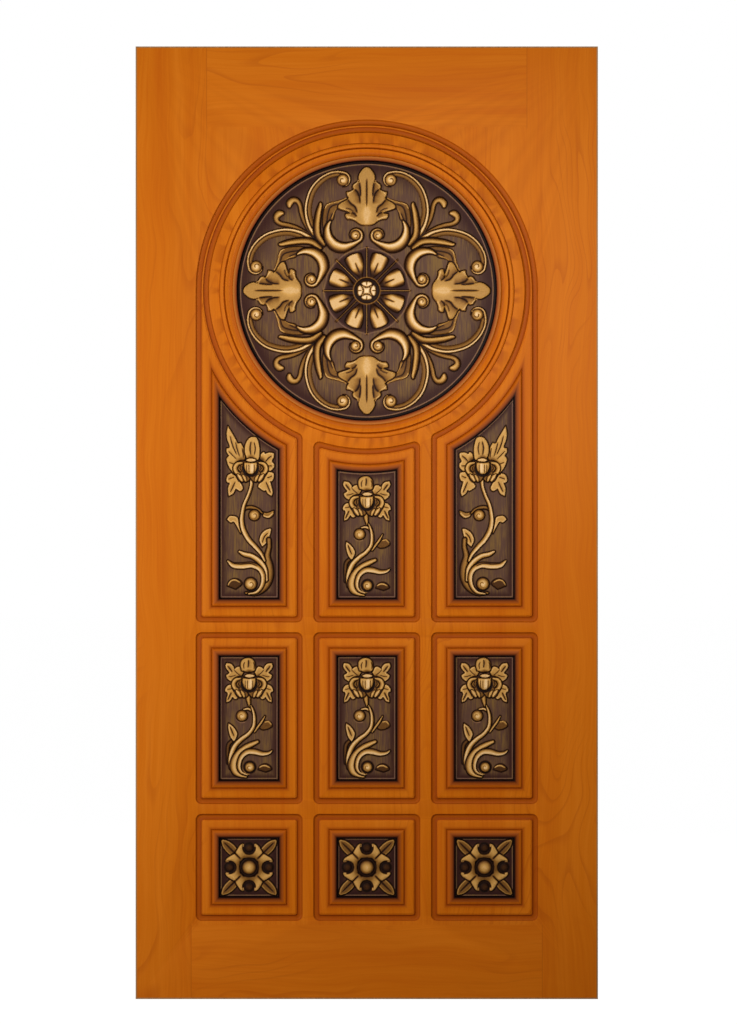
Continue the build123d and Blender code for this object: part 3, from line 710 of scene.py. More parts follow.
    def gleam(self, route, tone, lift=0.4):
        """A fine raised line, or a broad soft patch, with a painted highlight: its gold rises as a bell curve
        of the distance over the half width."""
        line = curve(route)
        where, _, left, width, along = self.measure(line, line[:, 2].max() * 2)
        light = np.exp(-((left / width) ** 2))
        self.gold[where] += (np.maximum(tone, self.gold[where]) - self.gold[where]) * light
        self.rise[where] += lift * light * smooth(along, 0, 0.1) * smooth(1 - along, 0, 0.1)

    def ball(self, x, z, radius, height, tone=1, spiral=0, groove=3, turn=1):
        """Lay a dome, the root of one less the square of its distance over its radius, with a groove winding
        out from its middle."""
        away = np.hypot(self.x - x, self.z - z)
        where = np.flatnonzero(away < radius + groove)
        away = away[where]
        u = np.clip(away / radius, 0, 1)
        body = np.sqrt(1 - u * u)
        angle = np.arctan2(self.z[where] - z, turn * (self.x[where] - x)) / (2 * math.pi)
        wind = np.abs((u * 1.2 - angle) % 1.0 - 0.5) * 2
        slit = spiral * smooth(wind, 0.7, 0.95) * smooth(u, 0.0, 0.12) * smooth(0.75 - u, 0.0, 0.3)
        gold = tone * (0.16 + 0.8 * body**1.5) - 0.7 * slit
        self.lay(where, away - radius, height * (0.4 + 0.6 * body - 0.3 * slit), gold, groove)

    def border(self, depth, black):
        """Blacken the plate's rim, and leave a thin pale line inside it: a painted highlight on a low raised
        bead.
        """
        dark = 1 - smooth(depth, black - 0.8, black + 0.6)
        line = np.exp(-(((depth - black - 1.6) / 0.9) ** 2)) * self.ground
        self.gold = (self.gold + (0.8 - self.gold) * line) * (1 - dark)
        self.ground *= 1 - dark
        self.rise += 0.4 * line


def volute(x, z, inner, outer, start, turn, near, far, count=9):
    """A spiral's route: its radius, its angle and its half width all change evenly from one end to the
    other."""
    t = np.linspace(0, 1, count)
    angle, radius = np.radians(start + turn * t), inner + (outer - inner) * t
    across, up = x + radius * np.cos(angle), z + radius * np.sin(angle)
    return [tuple(row) for row in np.column_stack([across, up, near + (far - near) * t])]


acanthus = [
    [(-3, 141), (8, 140.5), (16, 143), (25, 149.5), (33, 152.5)],
    [(41.5, 153), (45.5, 158)],
    [(46, 164.5), (38, 165.5)],
    [(31, 167), (44, 171), (56, 174)],
    [(62, 177), (60, 184), (52, 190), (44, 194)],
    [(39, 199), (42.5, 204)],
    [(43.5, 211.5), (37, 212.5), (31, 215)],
    [(27.5, 218), (30.5, 220.5), (29, 227), (23, 231.5)],
    [(16, 234), (18, 240), (17.5, 246), (14.5, 253), (10, 259), (5, 263.5)],
    [(-3, 265.5)],
]
veil = [
    [(40, 199), (60, 191.5), (72, 189), (84, 185.5), (90, 177.5), (93, 163.6), (94, 143.8)],
    [(91, 120)],
    [(84, 122), (80, 145), (72, 154), (69, 167.6), (64, 175.5), (50, 171.5)],
    [(36, 168)],
]
# A petal's half width, as pairs of the distance from the middle and the half width, and where it ends
PETAL = ((28, 0.5), (33, 3.5), (40, 7), (48, 11), (55, 14.5), (62, 17), (68, 18.6), (84, 18.6))
PETAL_END = 83.5
boss_lobe = [[(-8, 9.8), (0, 8.6), (6, 10), (11, 13.5)], [(11.5, 16), (7, 18.6), (0, 19.6), (-8, 18.6)]]
boss_star = [[(-5, 6.2), (0, 5.6), (4.5, 6.8), (9.8, 10)], [(10, 9.2), (4, -4)], [(-5, -4)]]


def carve_medallion(relief):
    """The round plaque: an eighth of it is drawn, between the upright axis and the diagonal, and folded over
    it."""
    strap, ball, patch, vein, gleam = relief.strap, relief.ball, relief.patch, relief.vein, relief.gleam
    # Dark ground under the flower
    relief.gold *= 0.4 + 0.6 * smooth(np.hypot(relief.x, relief.z), 82, 98)
    # Tendril between two stems, the veil behind the leaf and the stem with its scoop
    tendril = [
        (108, 110, 3), (123, 130, 4), (134, 150, 4.5), (140, 168, 4.5), (143, 183, 4.5), (149, 192.5, 5),
        (158, 194, 6), (165, 188, 7), (166, 181, 4),
    ]
    strap(tendril, 4.6, crest=-0.3, tone=0.9, fade=0.5)
    patch(veil, 3, tone=0.5, soft=3, rim=0, dim=0.7)
    for streak in (
        [(58, 186, 1), (76, 180, 1.2), (83, 164, 1.2), (86, 138, 1)],
        [(72, 168, 0.8), (79, 152, 1), (84, 132, 1)],
    ):
        vein(streak, 0.5, shade=0.3, reach=4)
    gleam([(44, 198, 1), (60, 191, 1.3), (72, 188.5, 1.3), (84, 184.5, 1.4), (89, 177, 1)], 0.9)
    gleam([(66, 175, 0.8), (71, 165, 0.9), (74, 156, 0.8)], 0.75)
    scoop = [
        (60, 249.5, 3.5), (82, 244.5, 5), (100, 232.5, 6), (115, 214, 6.5), (123, 190.5, 7), (125, 167.5, 7),
        (120.5, 146, 7), (112, 129, 7), (100, 113, 6), (91, 101, 5),
    ]
    strap(scoop, 4.2, root=0.15, crest=0.6, tone=0.6, dim=0.5, groove=0.8)
    stem = [
        *volute(51.4, 236.9, 13, 16, 265, -160, 1.2, 1.9), (64.2, 254.7, 1.9), (84, 249.8, 1.9),
        (103.9, 236.9, 2.0), (119.7, 217.1, 2.2), (128.6, 191.3, 2.4), (130.6, 167.6, 2.6),
        (125.6, 143.8, 3.0), (117, 127, 3.6), (104, 112, 4.6), (92, 100, 5),
    ]
    strap(stem, 6.4, root=0.6, dim=0.45)
    ball(51.4, 236.9, 12.4, 6.8, spiral=1, turn=-1, groove=1.6)
    # Acanthus leaf
    patch(acanthus, 6.8, tone=0.74, soft=6, dim=0.4)
    gleam([(0, 148, 8), (3, 165, 9), (0, 182, 4)], 0.84, 0.6)
    # Veins of the leaf, each with a painted shadow to one side
    for route in (
        [(15.5, 233, 1.0), (14, 222, 1.5), (13, 212, 1.3), (12.5, 200, 0.8)],
        [(27.5, 218, 1.0), (20, 212, 1.5), (15, 200, 1.4), (13.5, 184, 0.8)],
        [(42, 197.5, 1.0), (34, 187, 1.5), (24, 178.5, 1.5), (19.5, 164, 0.8)],
        [(33, 168, 1.0), (26, 165, 1.4), (20.5, 158, 0.8)],
    ):
        vein(route, 1.6, shade=0.62, reach=6.5)
    vein([(46, 177, 0.7), (36, 174.5, 0.9), (27, 168.5, 0.7)], 0.6, shade=0.2)
    vein([(0, 176, 0.8), (0, 200, 1.5), (0, 222, 1.6), (0, 243, 0.8)], 2.2)
    for route in (
        [(18, 236, 0.9), (22, 229.5, 1.0), (28, 225, 0.8)],
        [(30, 214, 0.9), (37, 209.5, 1.0), (41, 205, 0.8)],
        [(34, 167.5, 0.9), (44, 172, 0.9), (56, 176, 0.8)],
        [(24, 152, 1.1), (33, 156, 1.2), (42, 158, 1.0)],
    ):
        gleam(route, 0.92)
    # Finger, bowl and its volute
    finger = [
        (92, 100, 5.5), (103.9, 116, 7), (106.8, 135.9, 7), (103.9, 163.6, 6.4), (99.5, 182.4, 4.4),
        (99.9, 187.5, 1.8),
    ]
    strap(finger, 7.6, crest=0.35, sharp=0.8, tone=0.9, dim=0.12, fade=0.2)
    bowl = [
        *volute(24, 118.5, 10.5, 15, -20, 270, 2.0, 3.6), (33, 97.5, 6.5), (50.4, 92.3, 10.4),
        (69, 97.5, 11.5), (81.5, 112, 10), (85, 129, 7), (82.5, 141, 4.4), (78, 148.5, 1.8),
    ]
    strap(bowl, 8.2, crest=0.42, sharp=0.75, dim=0.1, groove=3.4)
    ball(24, 118.5, 10.2, 8, spiral=1, groove=2)
    # Flower: a petal between each two of the eight rays, and the boss on them
    lean = math.pi / 8
    along = relief.x * math.sin(lean) + relief.z * math.cos(lean)
    across = relief.x * math.cos(lean) - relief.z * math.sin(lean)
    where = np.flatnonzero((along > 26) & (along < 92))
    along, across = along[where], np.abs(across[where])
    half = level(along, PETAL)
    edge = np.maximum(across - half, 0.8 * (along + across**2 / 70 - PETAL_END))
    body = np.sqrt(1 - np.clip(across / np.maximum(half, 1), 0, 1) ** 2)
    # A petal's gold: darker towards its sides, as painted shade, and darker towards the boss
    bright = (0.14 + 0.86 * smooth(along, 34, 56)) * (1 - 0.8 * smooth(across, 8, 18))
    relief.lay(where, edge, 2.5 + 4.5 * body * smooth(along, 28, 56), 0.86 * bright, 3)
    crease = ((40, 1.2), (50, 1.8), (66, 1.0))
    vein([(math.sin(lean) * reach, math.cos(lean) * reach, width) for reach, width in crease], 1.6)
    for ray in ([(0, 30, 1), (0, 60, 1), (0, 93, 0.8)], [(21, 21, 1), (43, 43, 1), (66, 66, 0.8)]):
        strap(ray, 3.2, tone=0.72, dim=0.6, groove=2.6)
    gleam([(2, 93, 1), (18, 88, 1.1), (36, 84, 1.2), (52, 74, 1.2), (64, 63, 1)], 0.72)
    ball(0, 0, 28.5, 4.2, tone=0.1, groove=2)
    gleam(volute(0, 0, 29, 29, 30, 75, 1.1, 1.1), 0.7)
    ball(0, 0, 20, 8, tone=0.32, groove=1.5)
    patch(boss_lobe, 8.3, tone=1.1, soft=3.5, dim=0.45, groove=1.4)
    vein([(0, 11, 0.7), (0, 20, 1.2)], 1)
    patch(boss_star, 8.5, tone=1.1, soft=3, dim=0.55, groove=1.4)


def calyx(relief, x, z):
    """The middle of a flower: petals in a heart-shaped hollow, and a ribbed cup with a pale rim. x, z is its
    middle."""
    strap, patch, vein = relief.strap, relief.patch, relief.vein

    def placed(route):
        return [(across + x, up + z, *rest) for across, up, *rest in route]

    heart = [
        [
            (-11.5, 16), (-22.5, 15.5), (-32, 11), (-37, 2.5), (-35.5, -7.5), (-30, -17), (-25, -25.5),
            (-18.5, -29.5),
        ],
        [(-14.5, -27), (-11.5, -29.5), (-4.5, -26.5)],
        [(1.5, -18.5), (1.5, 13)],
    ]
    for mirror in (1, -1):
        patch([placed(flip(mirror, run)) for run in heart], 4.6, tone=0.5, rim=0.1, dim=0.3, groove=3)
    outer = [(-18.5, 12, 2), (-28.5, 9, 4.2), (-33, 0.5, 4.8), (-29.5, -8.5, 4.2), (-23.5, -10.5, 1.6)]
    lower = [(-27.5, -13, 1.6), (-23, -18.5, 4.4), (-18.5, -25.5, 3)]
    inner = [(-16.5, -14.5, 1.6), (-13, -20, 3.6), (-10.5, -26.5, 2.2)]
    fold = [(-22.5, 5, 1), (-25, -0.5, 2), (-20.5, -6, 1)]
    for mirror in (1, -1):
        strap(placed(flip(mirror, outer)), 6.6, crest=-0.4 * mirror, tone=0.9, dim=0.3, groove=2)
        strap(placed(flip(mirror, lower)), 6, tone=0.95, dim=0.4, groove=1.6)
        strap(placed(flip(mirror, inner)), 6, tone=0.9, dim=0.4, groove=1.6)
        strap(placed(flip(mirror, fold)), 5.4, tone=0.6, groove=1.6)
    cup = [
        [(-14, 13)],
        [(14, 13), (14, 3.5), (11.5, -5), (6.5, -10), (0, -12.5), (-7, -10), (-11, -5), (-14, 3.5)],
    ]
    relief.ball(x, z, 17.5, 5, tone=0.06, groove=1)
    patch([placed(run) for run in cup], 8.3, tone=0.98, soft=6, rim=0.05, dim=0.25, groove=2.4)
    for place in (-8.2, -3.4, 8.0):
        vein(placed([(place, 10, 0.8), (place, -2, 0.9), (place * 0.85, -10, 0.7)]), 0.8)
    relief.gleam(placed([(3.2, 9, 2.4), (3.2, -9, 2.4)]), 0.98)
    mouth = [(-10.5, 18), (-5, 21), (1, 22), (7.5, 21), (12.5, 18), (7.5, 14.5), (0.5, 13.5), (-5.5, 14.5)]
    patch([placed(mouth)], 8.5, tone=0.95, soft=2.4, rim=0.1, dim=0.5, groove=2.2)
    vein(placed([(-9.5, 14.8, 0.8), (1, 13.2, 1.2), (11.5, 14.8, 0.8)]), 0.9)


def carve_flower(relief):
    """A flower on a stem that rises from a volute, with a bud, a tendril and two plumes."""
    strap, ball, patch, vein, gleam = relief.strap, relief.ball, relief.patch, relief.vein, relief.gleam
    # Foot leaf, tendril and bud
    foot_leaf = [[(19.5, 23), (24, 30.5), (32.5, 34.5), (41.5, 32.5), (48, 23.5)], [(36, 18)]]
    patch(foot_leaf, 3, tone=0.3, soft=3, rim=0)
    gleam([(22, 27.5, 0.9), (28.5, 31, 1.5), (36, 31, 1.5), (43.5, 27.5, 0.9)], 0.92)
    bud = [[(21, 113.5), (27, 121.5), (36, 126.5), (45, 124.5), (49, 116)], [(39.5, 109.5), (28.5, 108.5)]]
    patch(bud, 3.4, tone=0.45, rim=0.05)
    gleam([(34, 125, 1.1), (41.5, 126, 1.5), (47.5, 120, 1.1)], 0.88)
    strap([(11.5, 104, 2), (19.5, 115, 2.4), (27, 125.5, 2.4), (34, 137.5, 0.9)], 4.8, tone=0.9)
    strap([(-36, 85, 3.2), (-44, 76, 3.4), (-46, 59.5, 3), (-45, 37.5, 3)], 3.2, tone=0.42)
    side_leaf = [
        [(-44, 122.5), (-36, 117), (-28.5, 108), (-25, 98), (-30.5, 84.5)],
        [(-34, 84), (-40, 92.5), (-43.5, 103.5), (-45, 114.5)],
    ]
    patch(side_leaf, 4.8, tone=0.85, soft=3)
    vein([(-41, 116.5, 0.8), (-36.5, 105, 1.5), (-31.5, 93, 0.8)], 1.4)
    # Stem with its upper volute, the body with the high plume, and the low plume
    strap([(-2, 188.5, 5.4), (-1.5, 174, 4.8), (1, 159.5, 2)], 5.6, crest=-0.1, tone=0.82, dim=0.3)
    strap([(11, 138, 2.4), (7, 148, 2.8), (-2, 153, 2.6), (-11.5, 151.5, 1.8)], 5.6, crest=-0.2)
    stem = [
        (4, 160, 1), (8.5, 150, 2.4), (11.5, 134.5, 3.4), (9.5, 114.5, 3.8), (-1.5, 99, 4.2),
        (-15.5, 88.5, 4.8), (-28.5, 75.5, 5.2), (-36, 60.5, 5.4), (-39.5, 43, 5.2), (-39, 26.5, 3.6),
    ]
    strap(stem, 6.2, crest=-0.45)
    high_plume = [
        (18, 82.5, 3.6), (6.5, 77.5, 5.2), (-7.5, 70.5, 5.8), (-20.5, 60, 6.4), (-28.5, 46.5, 8),
        (-31.5, 32, 9.2), (-28.5, 19, 8), (-18.5, 11, 4.4), (-6, 7.5, 2),
    ]
    strap(high_plume, 7, tone=0.92, dim=0.22)
    low_plume = [
        (49, 63.5, 1.2), (42, 58.5, 3), (28.5, 57, 4.6), (12, 61, 5.8), (-2, 61, 5.4), (-13, 54, 4.8),
        (-19.5, 43, 4.2), (-21.5, 28, 3.6), (-16, 17, 2.6), (-3.5, 11.5, 1.4),
    ]
    strap(low_plume, 7.4, crest=0.6, dim=0.3)
    ball(1.6, 28.2, 10.6, 7.6, spiral=0.6, groove=5.5)
    gleam(volute(1.6, 28.2, 15.6, 15.6, 190, 75, 0.6, 1.0), 0.8)
    ball(-15.3, 138, 11.9, 7.8, tone=0.98, spiral=0.45, groove=2.6)
    gleam(volute(-15.3, 138, 14.6, 14.6, 215, 80, 0.5, 1.2), 0.85)
    # Fans of leaves, mirrored, with the crown over them
    upper = [
        [(-49, 251.5), (-39, 250), (-33, 244)],
        [(-31.5, 238.5), (-25.5, 243), (-18, 242.5)],
        [(-11.5, 231), (-20.5, 218.5), (-37, 212.5)],
        [(-39.5, 211.5), (-46.5, 217), (-49.5, 223.5)],
        [(-48.5, 226), (-43, 229.5)],
        [(-42.5, 231), (-48, 237.5), (-51, 244.5)],
    ]
    upper_veins = (
        ([(-46, 245.5, 0.9), (-41, 239, 1.7), (-35, 231, 1)], 1.4),
        ([(-44.5, 222, 0.6), (-37, 222.5, 0.9), (-27, 226, 0.7)], 0.8),
        ([(-33.5, 238.5, 0.6), (-27, 231, 0.9), (-18.5, 224, 0.7)], 0.8),
    )
    lower = [
        [(-35, 206), (-44.5, 204), (-50.5, 197.5), (-51.5, 190.5)],
        [(-47.5, 188.5), (-46, 184), (-48.5, 175)],
        [(-48.5, 166.5), (-41, 169.5), (-36.5, 176)],
        [(-35, 178), (-31.5, 174), (-26.5, 174)],
        [(-20.5, 180), (-24.5, 191), (-29, 200.5)],
    ]
    lower_veins = (
        ([(-46.5, 170.5, 0.9), (-42.5, 178.5, 1.7), (-37, 189.5, 1.2)], 1.4),
        ([(-47.5, 194.5, 0.6), (-41, 195.5, 0.9), (-34.5, 197.5, 0.7)], 0.8),
    )
    for mirror in (1, -1):
        for leaf, tone, (x, z, reach), veins in (
            (upper, 0.82, (-13, 213, 22), upper_veins),
            (lower, 0.84, (-24, 200, 14), lower_veins),
        ):
            runs = [flip(mirror, run) for run in leaf]
            patch(runs, 5.4, tone=tone, soft=3.4, dim=0.45, dark_end=(mirror * x, z, reach))
            for route, deep in veins:
                vein(flip(mirror, route), deep)
    crown = [
        [
            (-15.5, 235), (-18.5, 245), (-17, 255), (-11, 260.5), (-2.5, 262.5), (6, 260.5), (11.5, 254),
            (13.5, 244.5), (11.5, 234.5),
        ],
        [(-2, 230.5)],
    ]
    patch(crown, 6.4, tone=0.86, soft=5, rim=0.08, dim=0.4, dark_end=(0, 229, 12))
    vein([(-2, 259, 0.6), (-1, 251.5, 1.4), (-2.5, 240, 0.8)], 1.6, shade=0.25)
    for mirror in (1, -1):
        vein(flip(mirror, [(-8.5, 254.5, 0.5), (-11.5, 247, 1.1), (-10.5, 237.5, 0.6)]), 1)
    calyx(relief, 0, 205.8)


def carve_side_flower(relief):
    """The taller flower of a side plaque, as it is on the left."""
    strap, ball, patch, vein, gleam = relief.strap, relief.ball, relief.patch, relief.vein, relief.gleam
    # Foot leaf, side leaf, bud and the right leaf
    foot_leaf = [[(-46.5, 27.5), (-42.5, 37), (-32.5, 42.5), (-21.5, 40), (-15.5, 31.5)], [(-28.5, 20.5)]]
    patch(foot_leaf, 3.4, tone=0.3, soft=3, rim=0)
    gleam([(-45, 29.5, 1), (-39, 38, 1.4), (-30, 40, 1.4), (-20.5, 35.5, 0.9)], 0.92)
    side_leaf = [
        [(-48, 169.5), (-40.5, 177.5), (-25.5, 174.5), (-22, 160.5), (-17.5, 139)],
        [(-25.5, 153), (-32.5, 164), (-39.5, 162.5)],
    ]
    patch(side_leaf, 4.4, tone=0.82, soft=2.6)
    bud = [[(26.5, 186), (39.5, 184), (53, 188.5)], [(51.5, 178.5), (42.5, 172.5), (31.5, 175.5)]]
    patch(bud, 4, tone=0.62, soft=3, rim=0.1)
    gleam([(31, 177.5, 0.9), (41, 175, 1.4), (51, 183, 0.9)], 0.95)
    right_leaf = [
        [(28, 110.5), (22, 125), (26.5, 139), (36, 147.5), (47, 149.5)],
        [(44.5, 134), (38, 120)],
    ]
    patch(right_leaf, 4.8, tone=0.86, soft=3)
    vein([(41.5, 142, 0.8), (32.5, 132, 1.4), (28, 118, 0.8)], 1.4)
    # Upper volute, two-toned stem, body, plumes and the lower volute
    curl = [(-12.5, 188.5, 2.2), (-5, 194.5, 3.2), (7, 195, 3.6), (20, 189.5, 3.4), (28, 183, 1.6)]
    strap(curl, 5, crest=0.2, tone=0.6)
    body = [
        (42.5, 126.5, 4.5), (43, 111, 4.5), (39, 91, 6), (43, 68.5, 8.4), (43, 46, 8.6), (33.5, 25.5, 7.6),
        (14, 12, 5.4), (-6.5, 12, 2.6),
    ]
    strap(body, 6, crest=-0.1, tone=0.66)
    stem = [
        (5.5, 259.5, 3.4), (4.5, 241, 3.2), (-2, 221, 3.2), (-10.5, 201, 3.4), (-14, 184.5, 3.8),
        (-15.5, 167.5, 4.4), (-12, 147.5, 5), (-1, 127, 5), (14, 110.5, 4.6), (26.5, 95.5, 3.6),
        (33.5, 81, 2),
    ]
    strap(stem, 6.4, crest=-0.5, dim=0.3)
    high_plume = [
        (-20.5, 100.5, 2.6), (-10, 95, 4.8), (7, 90.5, 5.4), (23, 79, 5.6), (33.5, 63, 5.4), (36.5, 40, 4),
    ]
    strap(high_plume, 6.8, crest=0.35, dim=0.25)
    low_plume = [
        (-45.5, 81, 1.6), (-34, 71.5, 5.2), (-14, 70, 6.4), (6, 71.5, 5.8), (22.5, 63.5, 5), (30, 48.5, 4.6),
        (28, 29, 4), (16.5, 14, 3), (-1, 10, 1.6),
    ]
    strap(low_plume, 7.2, crest=-0.6, dim=0.35)
    vein([(-39.5, 76.5, 0.8), (-20, 74, 1.1), (3.5, 75, 1.1), (20, 68.5, 0.8)], 1)
    ball(3.3, 31.7, 13.2, 7.6, spiral=0.6, turn=-1, groove=3.6)
    ball(11.2, 178.7, 11.9, 7.8, tone=0.95, spiral=0.6, turn=-1, groove=2.6)
    # Leaves round the flower, and the crown over them
    right_top = [
        [(21.5, 300.5), (25.5, 310), (31.5, 314.5)],
        [(34.5, 310.5), (43, 313.5), (53, 311.5)],
        [(53.5, 302.5), (49.5, 294.5)],
        [(54, 289), (53, 280), (43, 272.5)],
        [(36.5, 286)],
    ]
    right_low = [
        [(41.5, 272), (52, 269.5), (53.5, 260.5), (50, 252)],
        [(45.5, 250.5), (49, 238), (51, 228)],
        [(48.5, 219), (40, 224.5), (36, 231.5)],
        [(32.5, 230), (25.5, 234), (19, 241)],
        [(28, 255)],
    ]
    left_low = [
        [(-34, 269.5), (-45, 265.5), (-49, 255), (-47, 249)],
        [(-41.5, 247.5), (-45.5, 236.5)],
        [(-44, 219), (-34, 224.5), (-28.5, 234.5)],
        [(-25.5, 233), (-18, 230), (-13, 238)],
        [(-22, 255)],
    ]
    for leaf, root in ((right_top, (25, 295)), (right_low, (28, 272)), (left_low, (-22, 270))):
        patch(leaf, 5.4, tone=0.88, soft=3.6, rim=0.16, dim=0.5, dark_end=(*root, 14))
    long_leaf = [
        [(-45.5, 370.5), (-37, 356.5), (-28.5, 342), (-24.5, 333.5)],
        [(-17.5, 334), (-11.5, 321.5), (-8, 303)],
        [(-17, 286), (-31, 268.5)],
        [(-33.5, 268.5), (-42.5, 280), (-47, 291), (-48.5, 299.5)],
        [(-43.5, 306.5), (-48.5, 314)],
        [(-48.5, 322), (-42, 325)],
        [(-47, 340), (-48.5, 354)],
    ]
    patch(long_leaf, 5.8, tone=0.9, soft=4.5, rim=0.12, dim=0.5, dark_end=(-15, 290, 20))
    for route in (
        [(-41.5, 351, 0.7), (-35.5, 328.5, 1.2), (-25.5, 306, 0.8)],
        [(-29.5, 337, 0.7), (-25.5, 320, 1.1), (-20, 303, 0.7)],
        [(-45, 317, 0.6), (-36.5, 308, 0.9), (-26, 297.5, 0.6)],
        [(-43.5, 292, 0.6), (-35.5, 289, 0.9), (-28, 286, 0.6)],
        [(-15.5, 324, 0.6), (-13, 311.5, 1.1), (-12, 300.5, 0.6)],
        [(-40.5, 227, 0.7), (-35, 238, 1.3), (-28.5, 252, 0.7)],
        [(-45, 255, 0.6), (-38, 258, 0.9), (-30.5, 260, 0.6)],
        [(46.5, 225.5, 0.7), (41.5, 238, 1.3), (35.5, 252, 0.7)],
        [(50, 263.5, 0.6), (43.5, 260.5, 0.9), (38, 258.5, 0.6)],
        [(49, 307, 0.7), (41, 300.5, 1.3), (34.5, 292.5, 0.7)],
        [(50, 284.5, 0.6), (44.5, 284.5, 0.9), (39, 284.5, 0.6)],
    ):
        vein(route, 1.2, shade=0.25, reach=3)
    crown = [
        (-4, 297), (-9.5, 314.5), (-8, 331), (-0.5, 343.5), (8.5, 347), (17, 344), (21.5, 331), (23, 316),
        (19, 297),
    ]
    patch([crown], 6.4, tone=0.88, soft=5, rim=0.16, dim=0.45, dark_end=(4, 298, 14))
    vein([(5, 338.5, 0.7), (2, 323, 1.5), (4, 306, 0.9)], 1.4, shade=0.2)
    vein([(10.5, 337, 0.7), (13.5, 321.5, 1.3), (11, 306, 0.8)])
    calyx(relief, 3.3, 278.8)


horn = [
    [(-4, 27.4), (0, 27.2), (8, 29.5), (13, 36), (14.2, 43)],
    [(13, 51.5), (19.5, 47.5), (24.5, 40)],
    [(28.5, 33)],
    [(30, 28), (18, 15)],
    [(12, 19.5), (-4, 20)],
]
corner_leaf = [
    [(14, 16), (21, 33), (32, 47.5), (44, 56.5)],
    [(54, 59.5), (58, 59), (60, 50), (42, 30), (18, 12)],
]


def carve_rosette(relief):
    """A ball with a veined leaf to each corner and eight horns, drawn in one eighth and folded over the
    whole."""
    relief.ball(0, 42, 8.5, 2.6, tone=0.24, groove=5)
    relief.patch(corner_leaf, 4.2, tone=0.52, soft=6, rim=0.34, dim=0.45)
    relief.patch(horn, 6, tone=0.92, soft=6.5, rim=0.14, dim=0.4, groove=3.4, dark_end=(0, 8, 36))
    relief.vein([(15, 15, 1.6), (28, 28, 1.9), (42, 42, 1.6), (55, 55, 0.8)], 2)
    relief.gleam([(13, 45, 1.6), (12.5, 49, 1.2)], 0.95)
    relief.ball(0, 0, 20, 2.4, tone=0.26, groove=1.5)
    relief.ball(0, 0, 15, 8.4, tone=0.9, groove=2.4)


# Sizes of the grids' cells and of the plates' black rims, and the highest that a carving stands on its plate
FLOWER_CELL = 1.0
ROSETTE_CELL = 0.9
DISC_CELLS = 312
PLATE_BLACK = 2.2
DISC_BLACK = 5.6
HIGHEST = 8.5
# The bare plate's gold at its rim, what it gains farther in, and the two depths between which it gains that
PLATE_SHADE = (0.26, 0.22, 5, 24)
DISC_SHADE = (0.24, 0.24, 10, 60)
# How much less gold the oblong plates have than the round one, and a rosette's ground than a flower's
PLATE_TONE = 0.95
ROSETTE_GROUND = 0.7


def shade_at(depth, rim, gain, near, far):
    """The bare plate's gold at a depth from its rim: the rim's, and a gain that comes in smoothly."""
    return rim + gain * smooth(depth, near, far)


def plaque(node, x, z, rows, columns, relief, middle):
    """A plaque from a grid of x and z: the carved top, a rim down to the pocket's floor, and a flat back."""
    top = np.column_stack([middle[0] + x, PLATE_Y - np.minimum(relief.rise, HIGHEST), middle[1] + z])
    number = np.arange(len(x)).reshape(rows, columns)
    quads = [number[:-1, :-1], number[:-1, 1:], number[1:, 1:], number[1:, :-1]]
    faces = np.column_stack([corner.ravel() for corner in quads]).tolist()
    rim = np.concatenate([number[0, :-1], number[:-1, -1], number[-1, :0:-1], number[:0:-1, 0]])
    back = top[rim].copy()
    back[:, 1] = PLATE_Y + PLATE_THICKNESS
    low = len(x) + np.arange(len(rim))
    faces += np.column_stack([rim, np.roll(rim, -1), np.roll(low, -1), low]).tolist()
    faces.append(low.tolist())
    fill = np.zeros(len(rim))
    marks = {"gold": np.concatenate([relief.gold, fill]), "ground": np.concatenate([relief.ground, fill])}
    piece(f"dressed_{node}", np.vstack([top, back]), faces, gilt, marks)


for node, panel in panels.items():
    low, high = corners(node)
    middle, foot = (low[0] + high[0]) / 2, low[2]
    cell = ROSETTE_CELL if node in rosette_plaques else FLOWER_CELL
    columns = round((high[0] - low[0]) / cell) + 1
    rows = round((high[2] - low[2]) / cell) + 1
    across, up = np.meshgrid(np.linspace(low[0], high[0], columns), np.linspace(0, 1, rows))
    if panel[3] is None:
        reach = CIRCLE_BAND_RADIUS + FRAME_INSET + PLATE_CLEARANCE
        head = CIRCLE_HEIGHT - np.sqrt(reach**2 - across**2)
    else:
        head = np.full_like(across, high[2])
    top = (head - foot).ravel()
    x, z = (across - middle).ravel(), (up * (head - foot)).ravel()
    depth = np.minimum(np.minimum((high[0] - low[0]) / 2 - np.abs(x), z), top - z)
    shade = shade_at(depth, *PLATE_SHADE)
    if node in rosette_plaques:
        folded = np.abs(x), np.abs(z - top / 2)
        relief = Relief(np.minimum(*folded), np.maximum(*folded), ROSETTE_GROUND * shade)
        carve_rosette(relief)
    elif node in side_plaques:
        relief = Relief(x if node.endswith("left") else -x, z, shade)
        carve_side_flower(relief)
    else:
        relief = Relief(x, z, shade)
        carve_flower(relief)
    relief.gold *= PLATE_TONE
    relief.border(depth, PLATE_BLACK)
    plaque(node, x, z, rows, columns, relief, (middle, foot))

# Medallion: a square grid pressed into a disc, ring by ring
side = np.linspace(-1, 1, DISC_CELLS + 1)
u, v = (part.ravel() for part in np.meshgrid(side, side))
ring = np.maximum(np.abs(u), np.abs(v))
lying = np.abs(u) >= np.abs(v)
main, other = np.where(lying, u, v), np.where(lying, v, u)
swing = other / np.where(main == 0, 1, main) * math.pi / 4
angle = np.where(lying, swing, math.pi / 2 - swing) + np.where(main < 0, math.pi, 0)
x, z = DISC_RADIUS * ring * np.cos(angle), DISC_RADIUS * ring * np.sin(angle)
depth = DISC_RADIUS * (1 - ring)
folded = np.abs(x), np.abs(z)
relief = Relief(np.minimum(*folded), np.maximum(*folded), shade_at(depth, *DISC_SHADE))
carve_medallion(relief)
relief.border(depth, DISC_BLACK)
plaque("medallion_plaque", x, z, len(side), len(side), relief, (0, CIRCLE_HEIGHT))

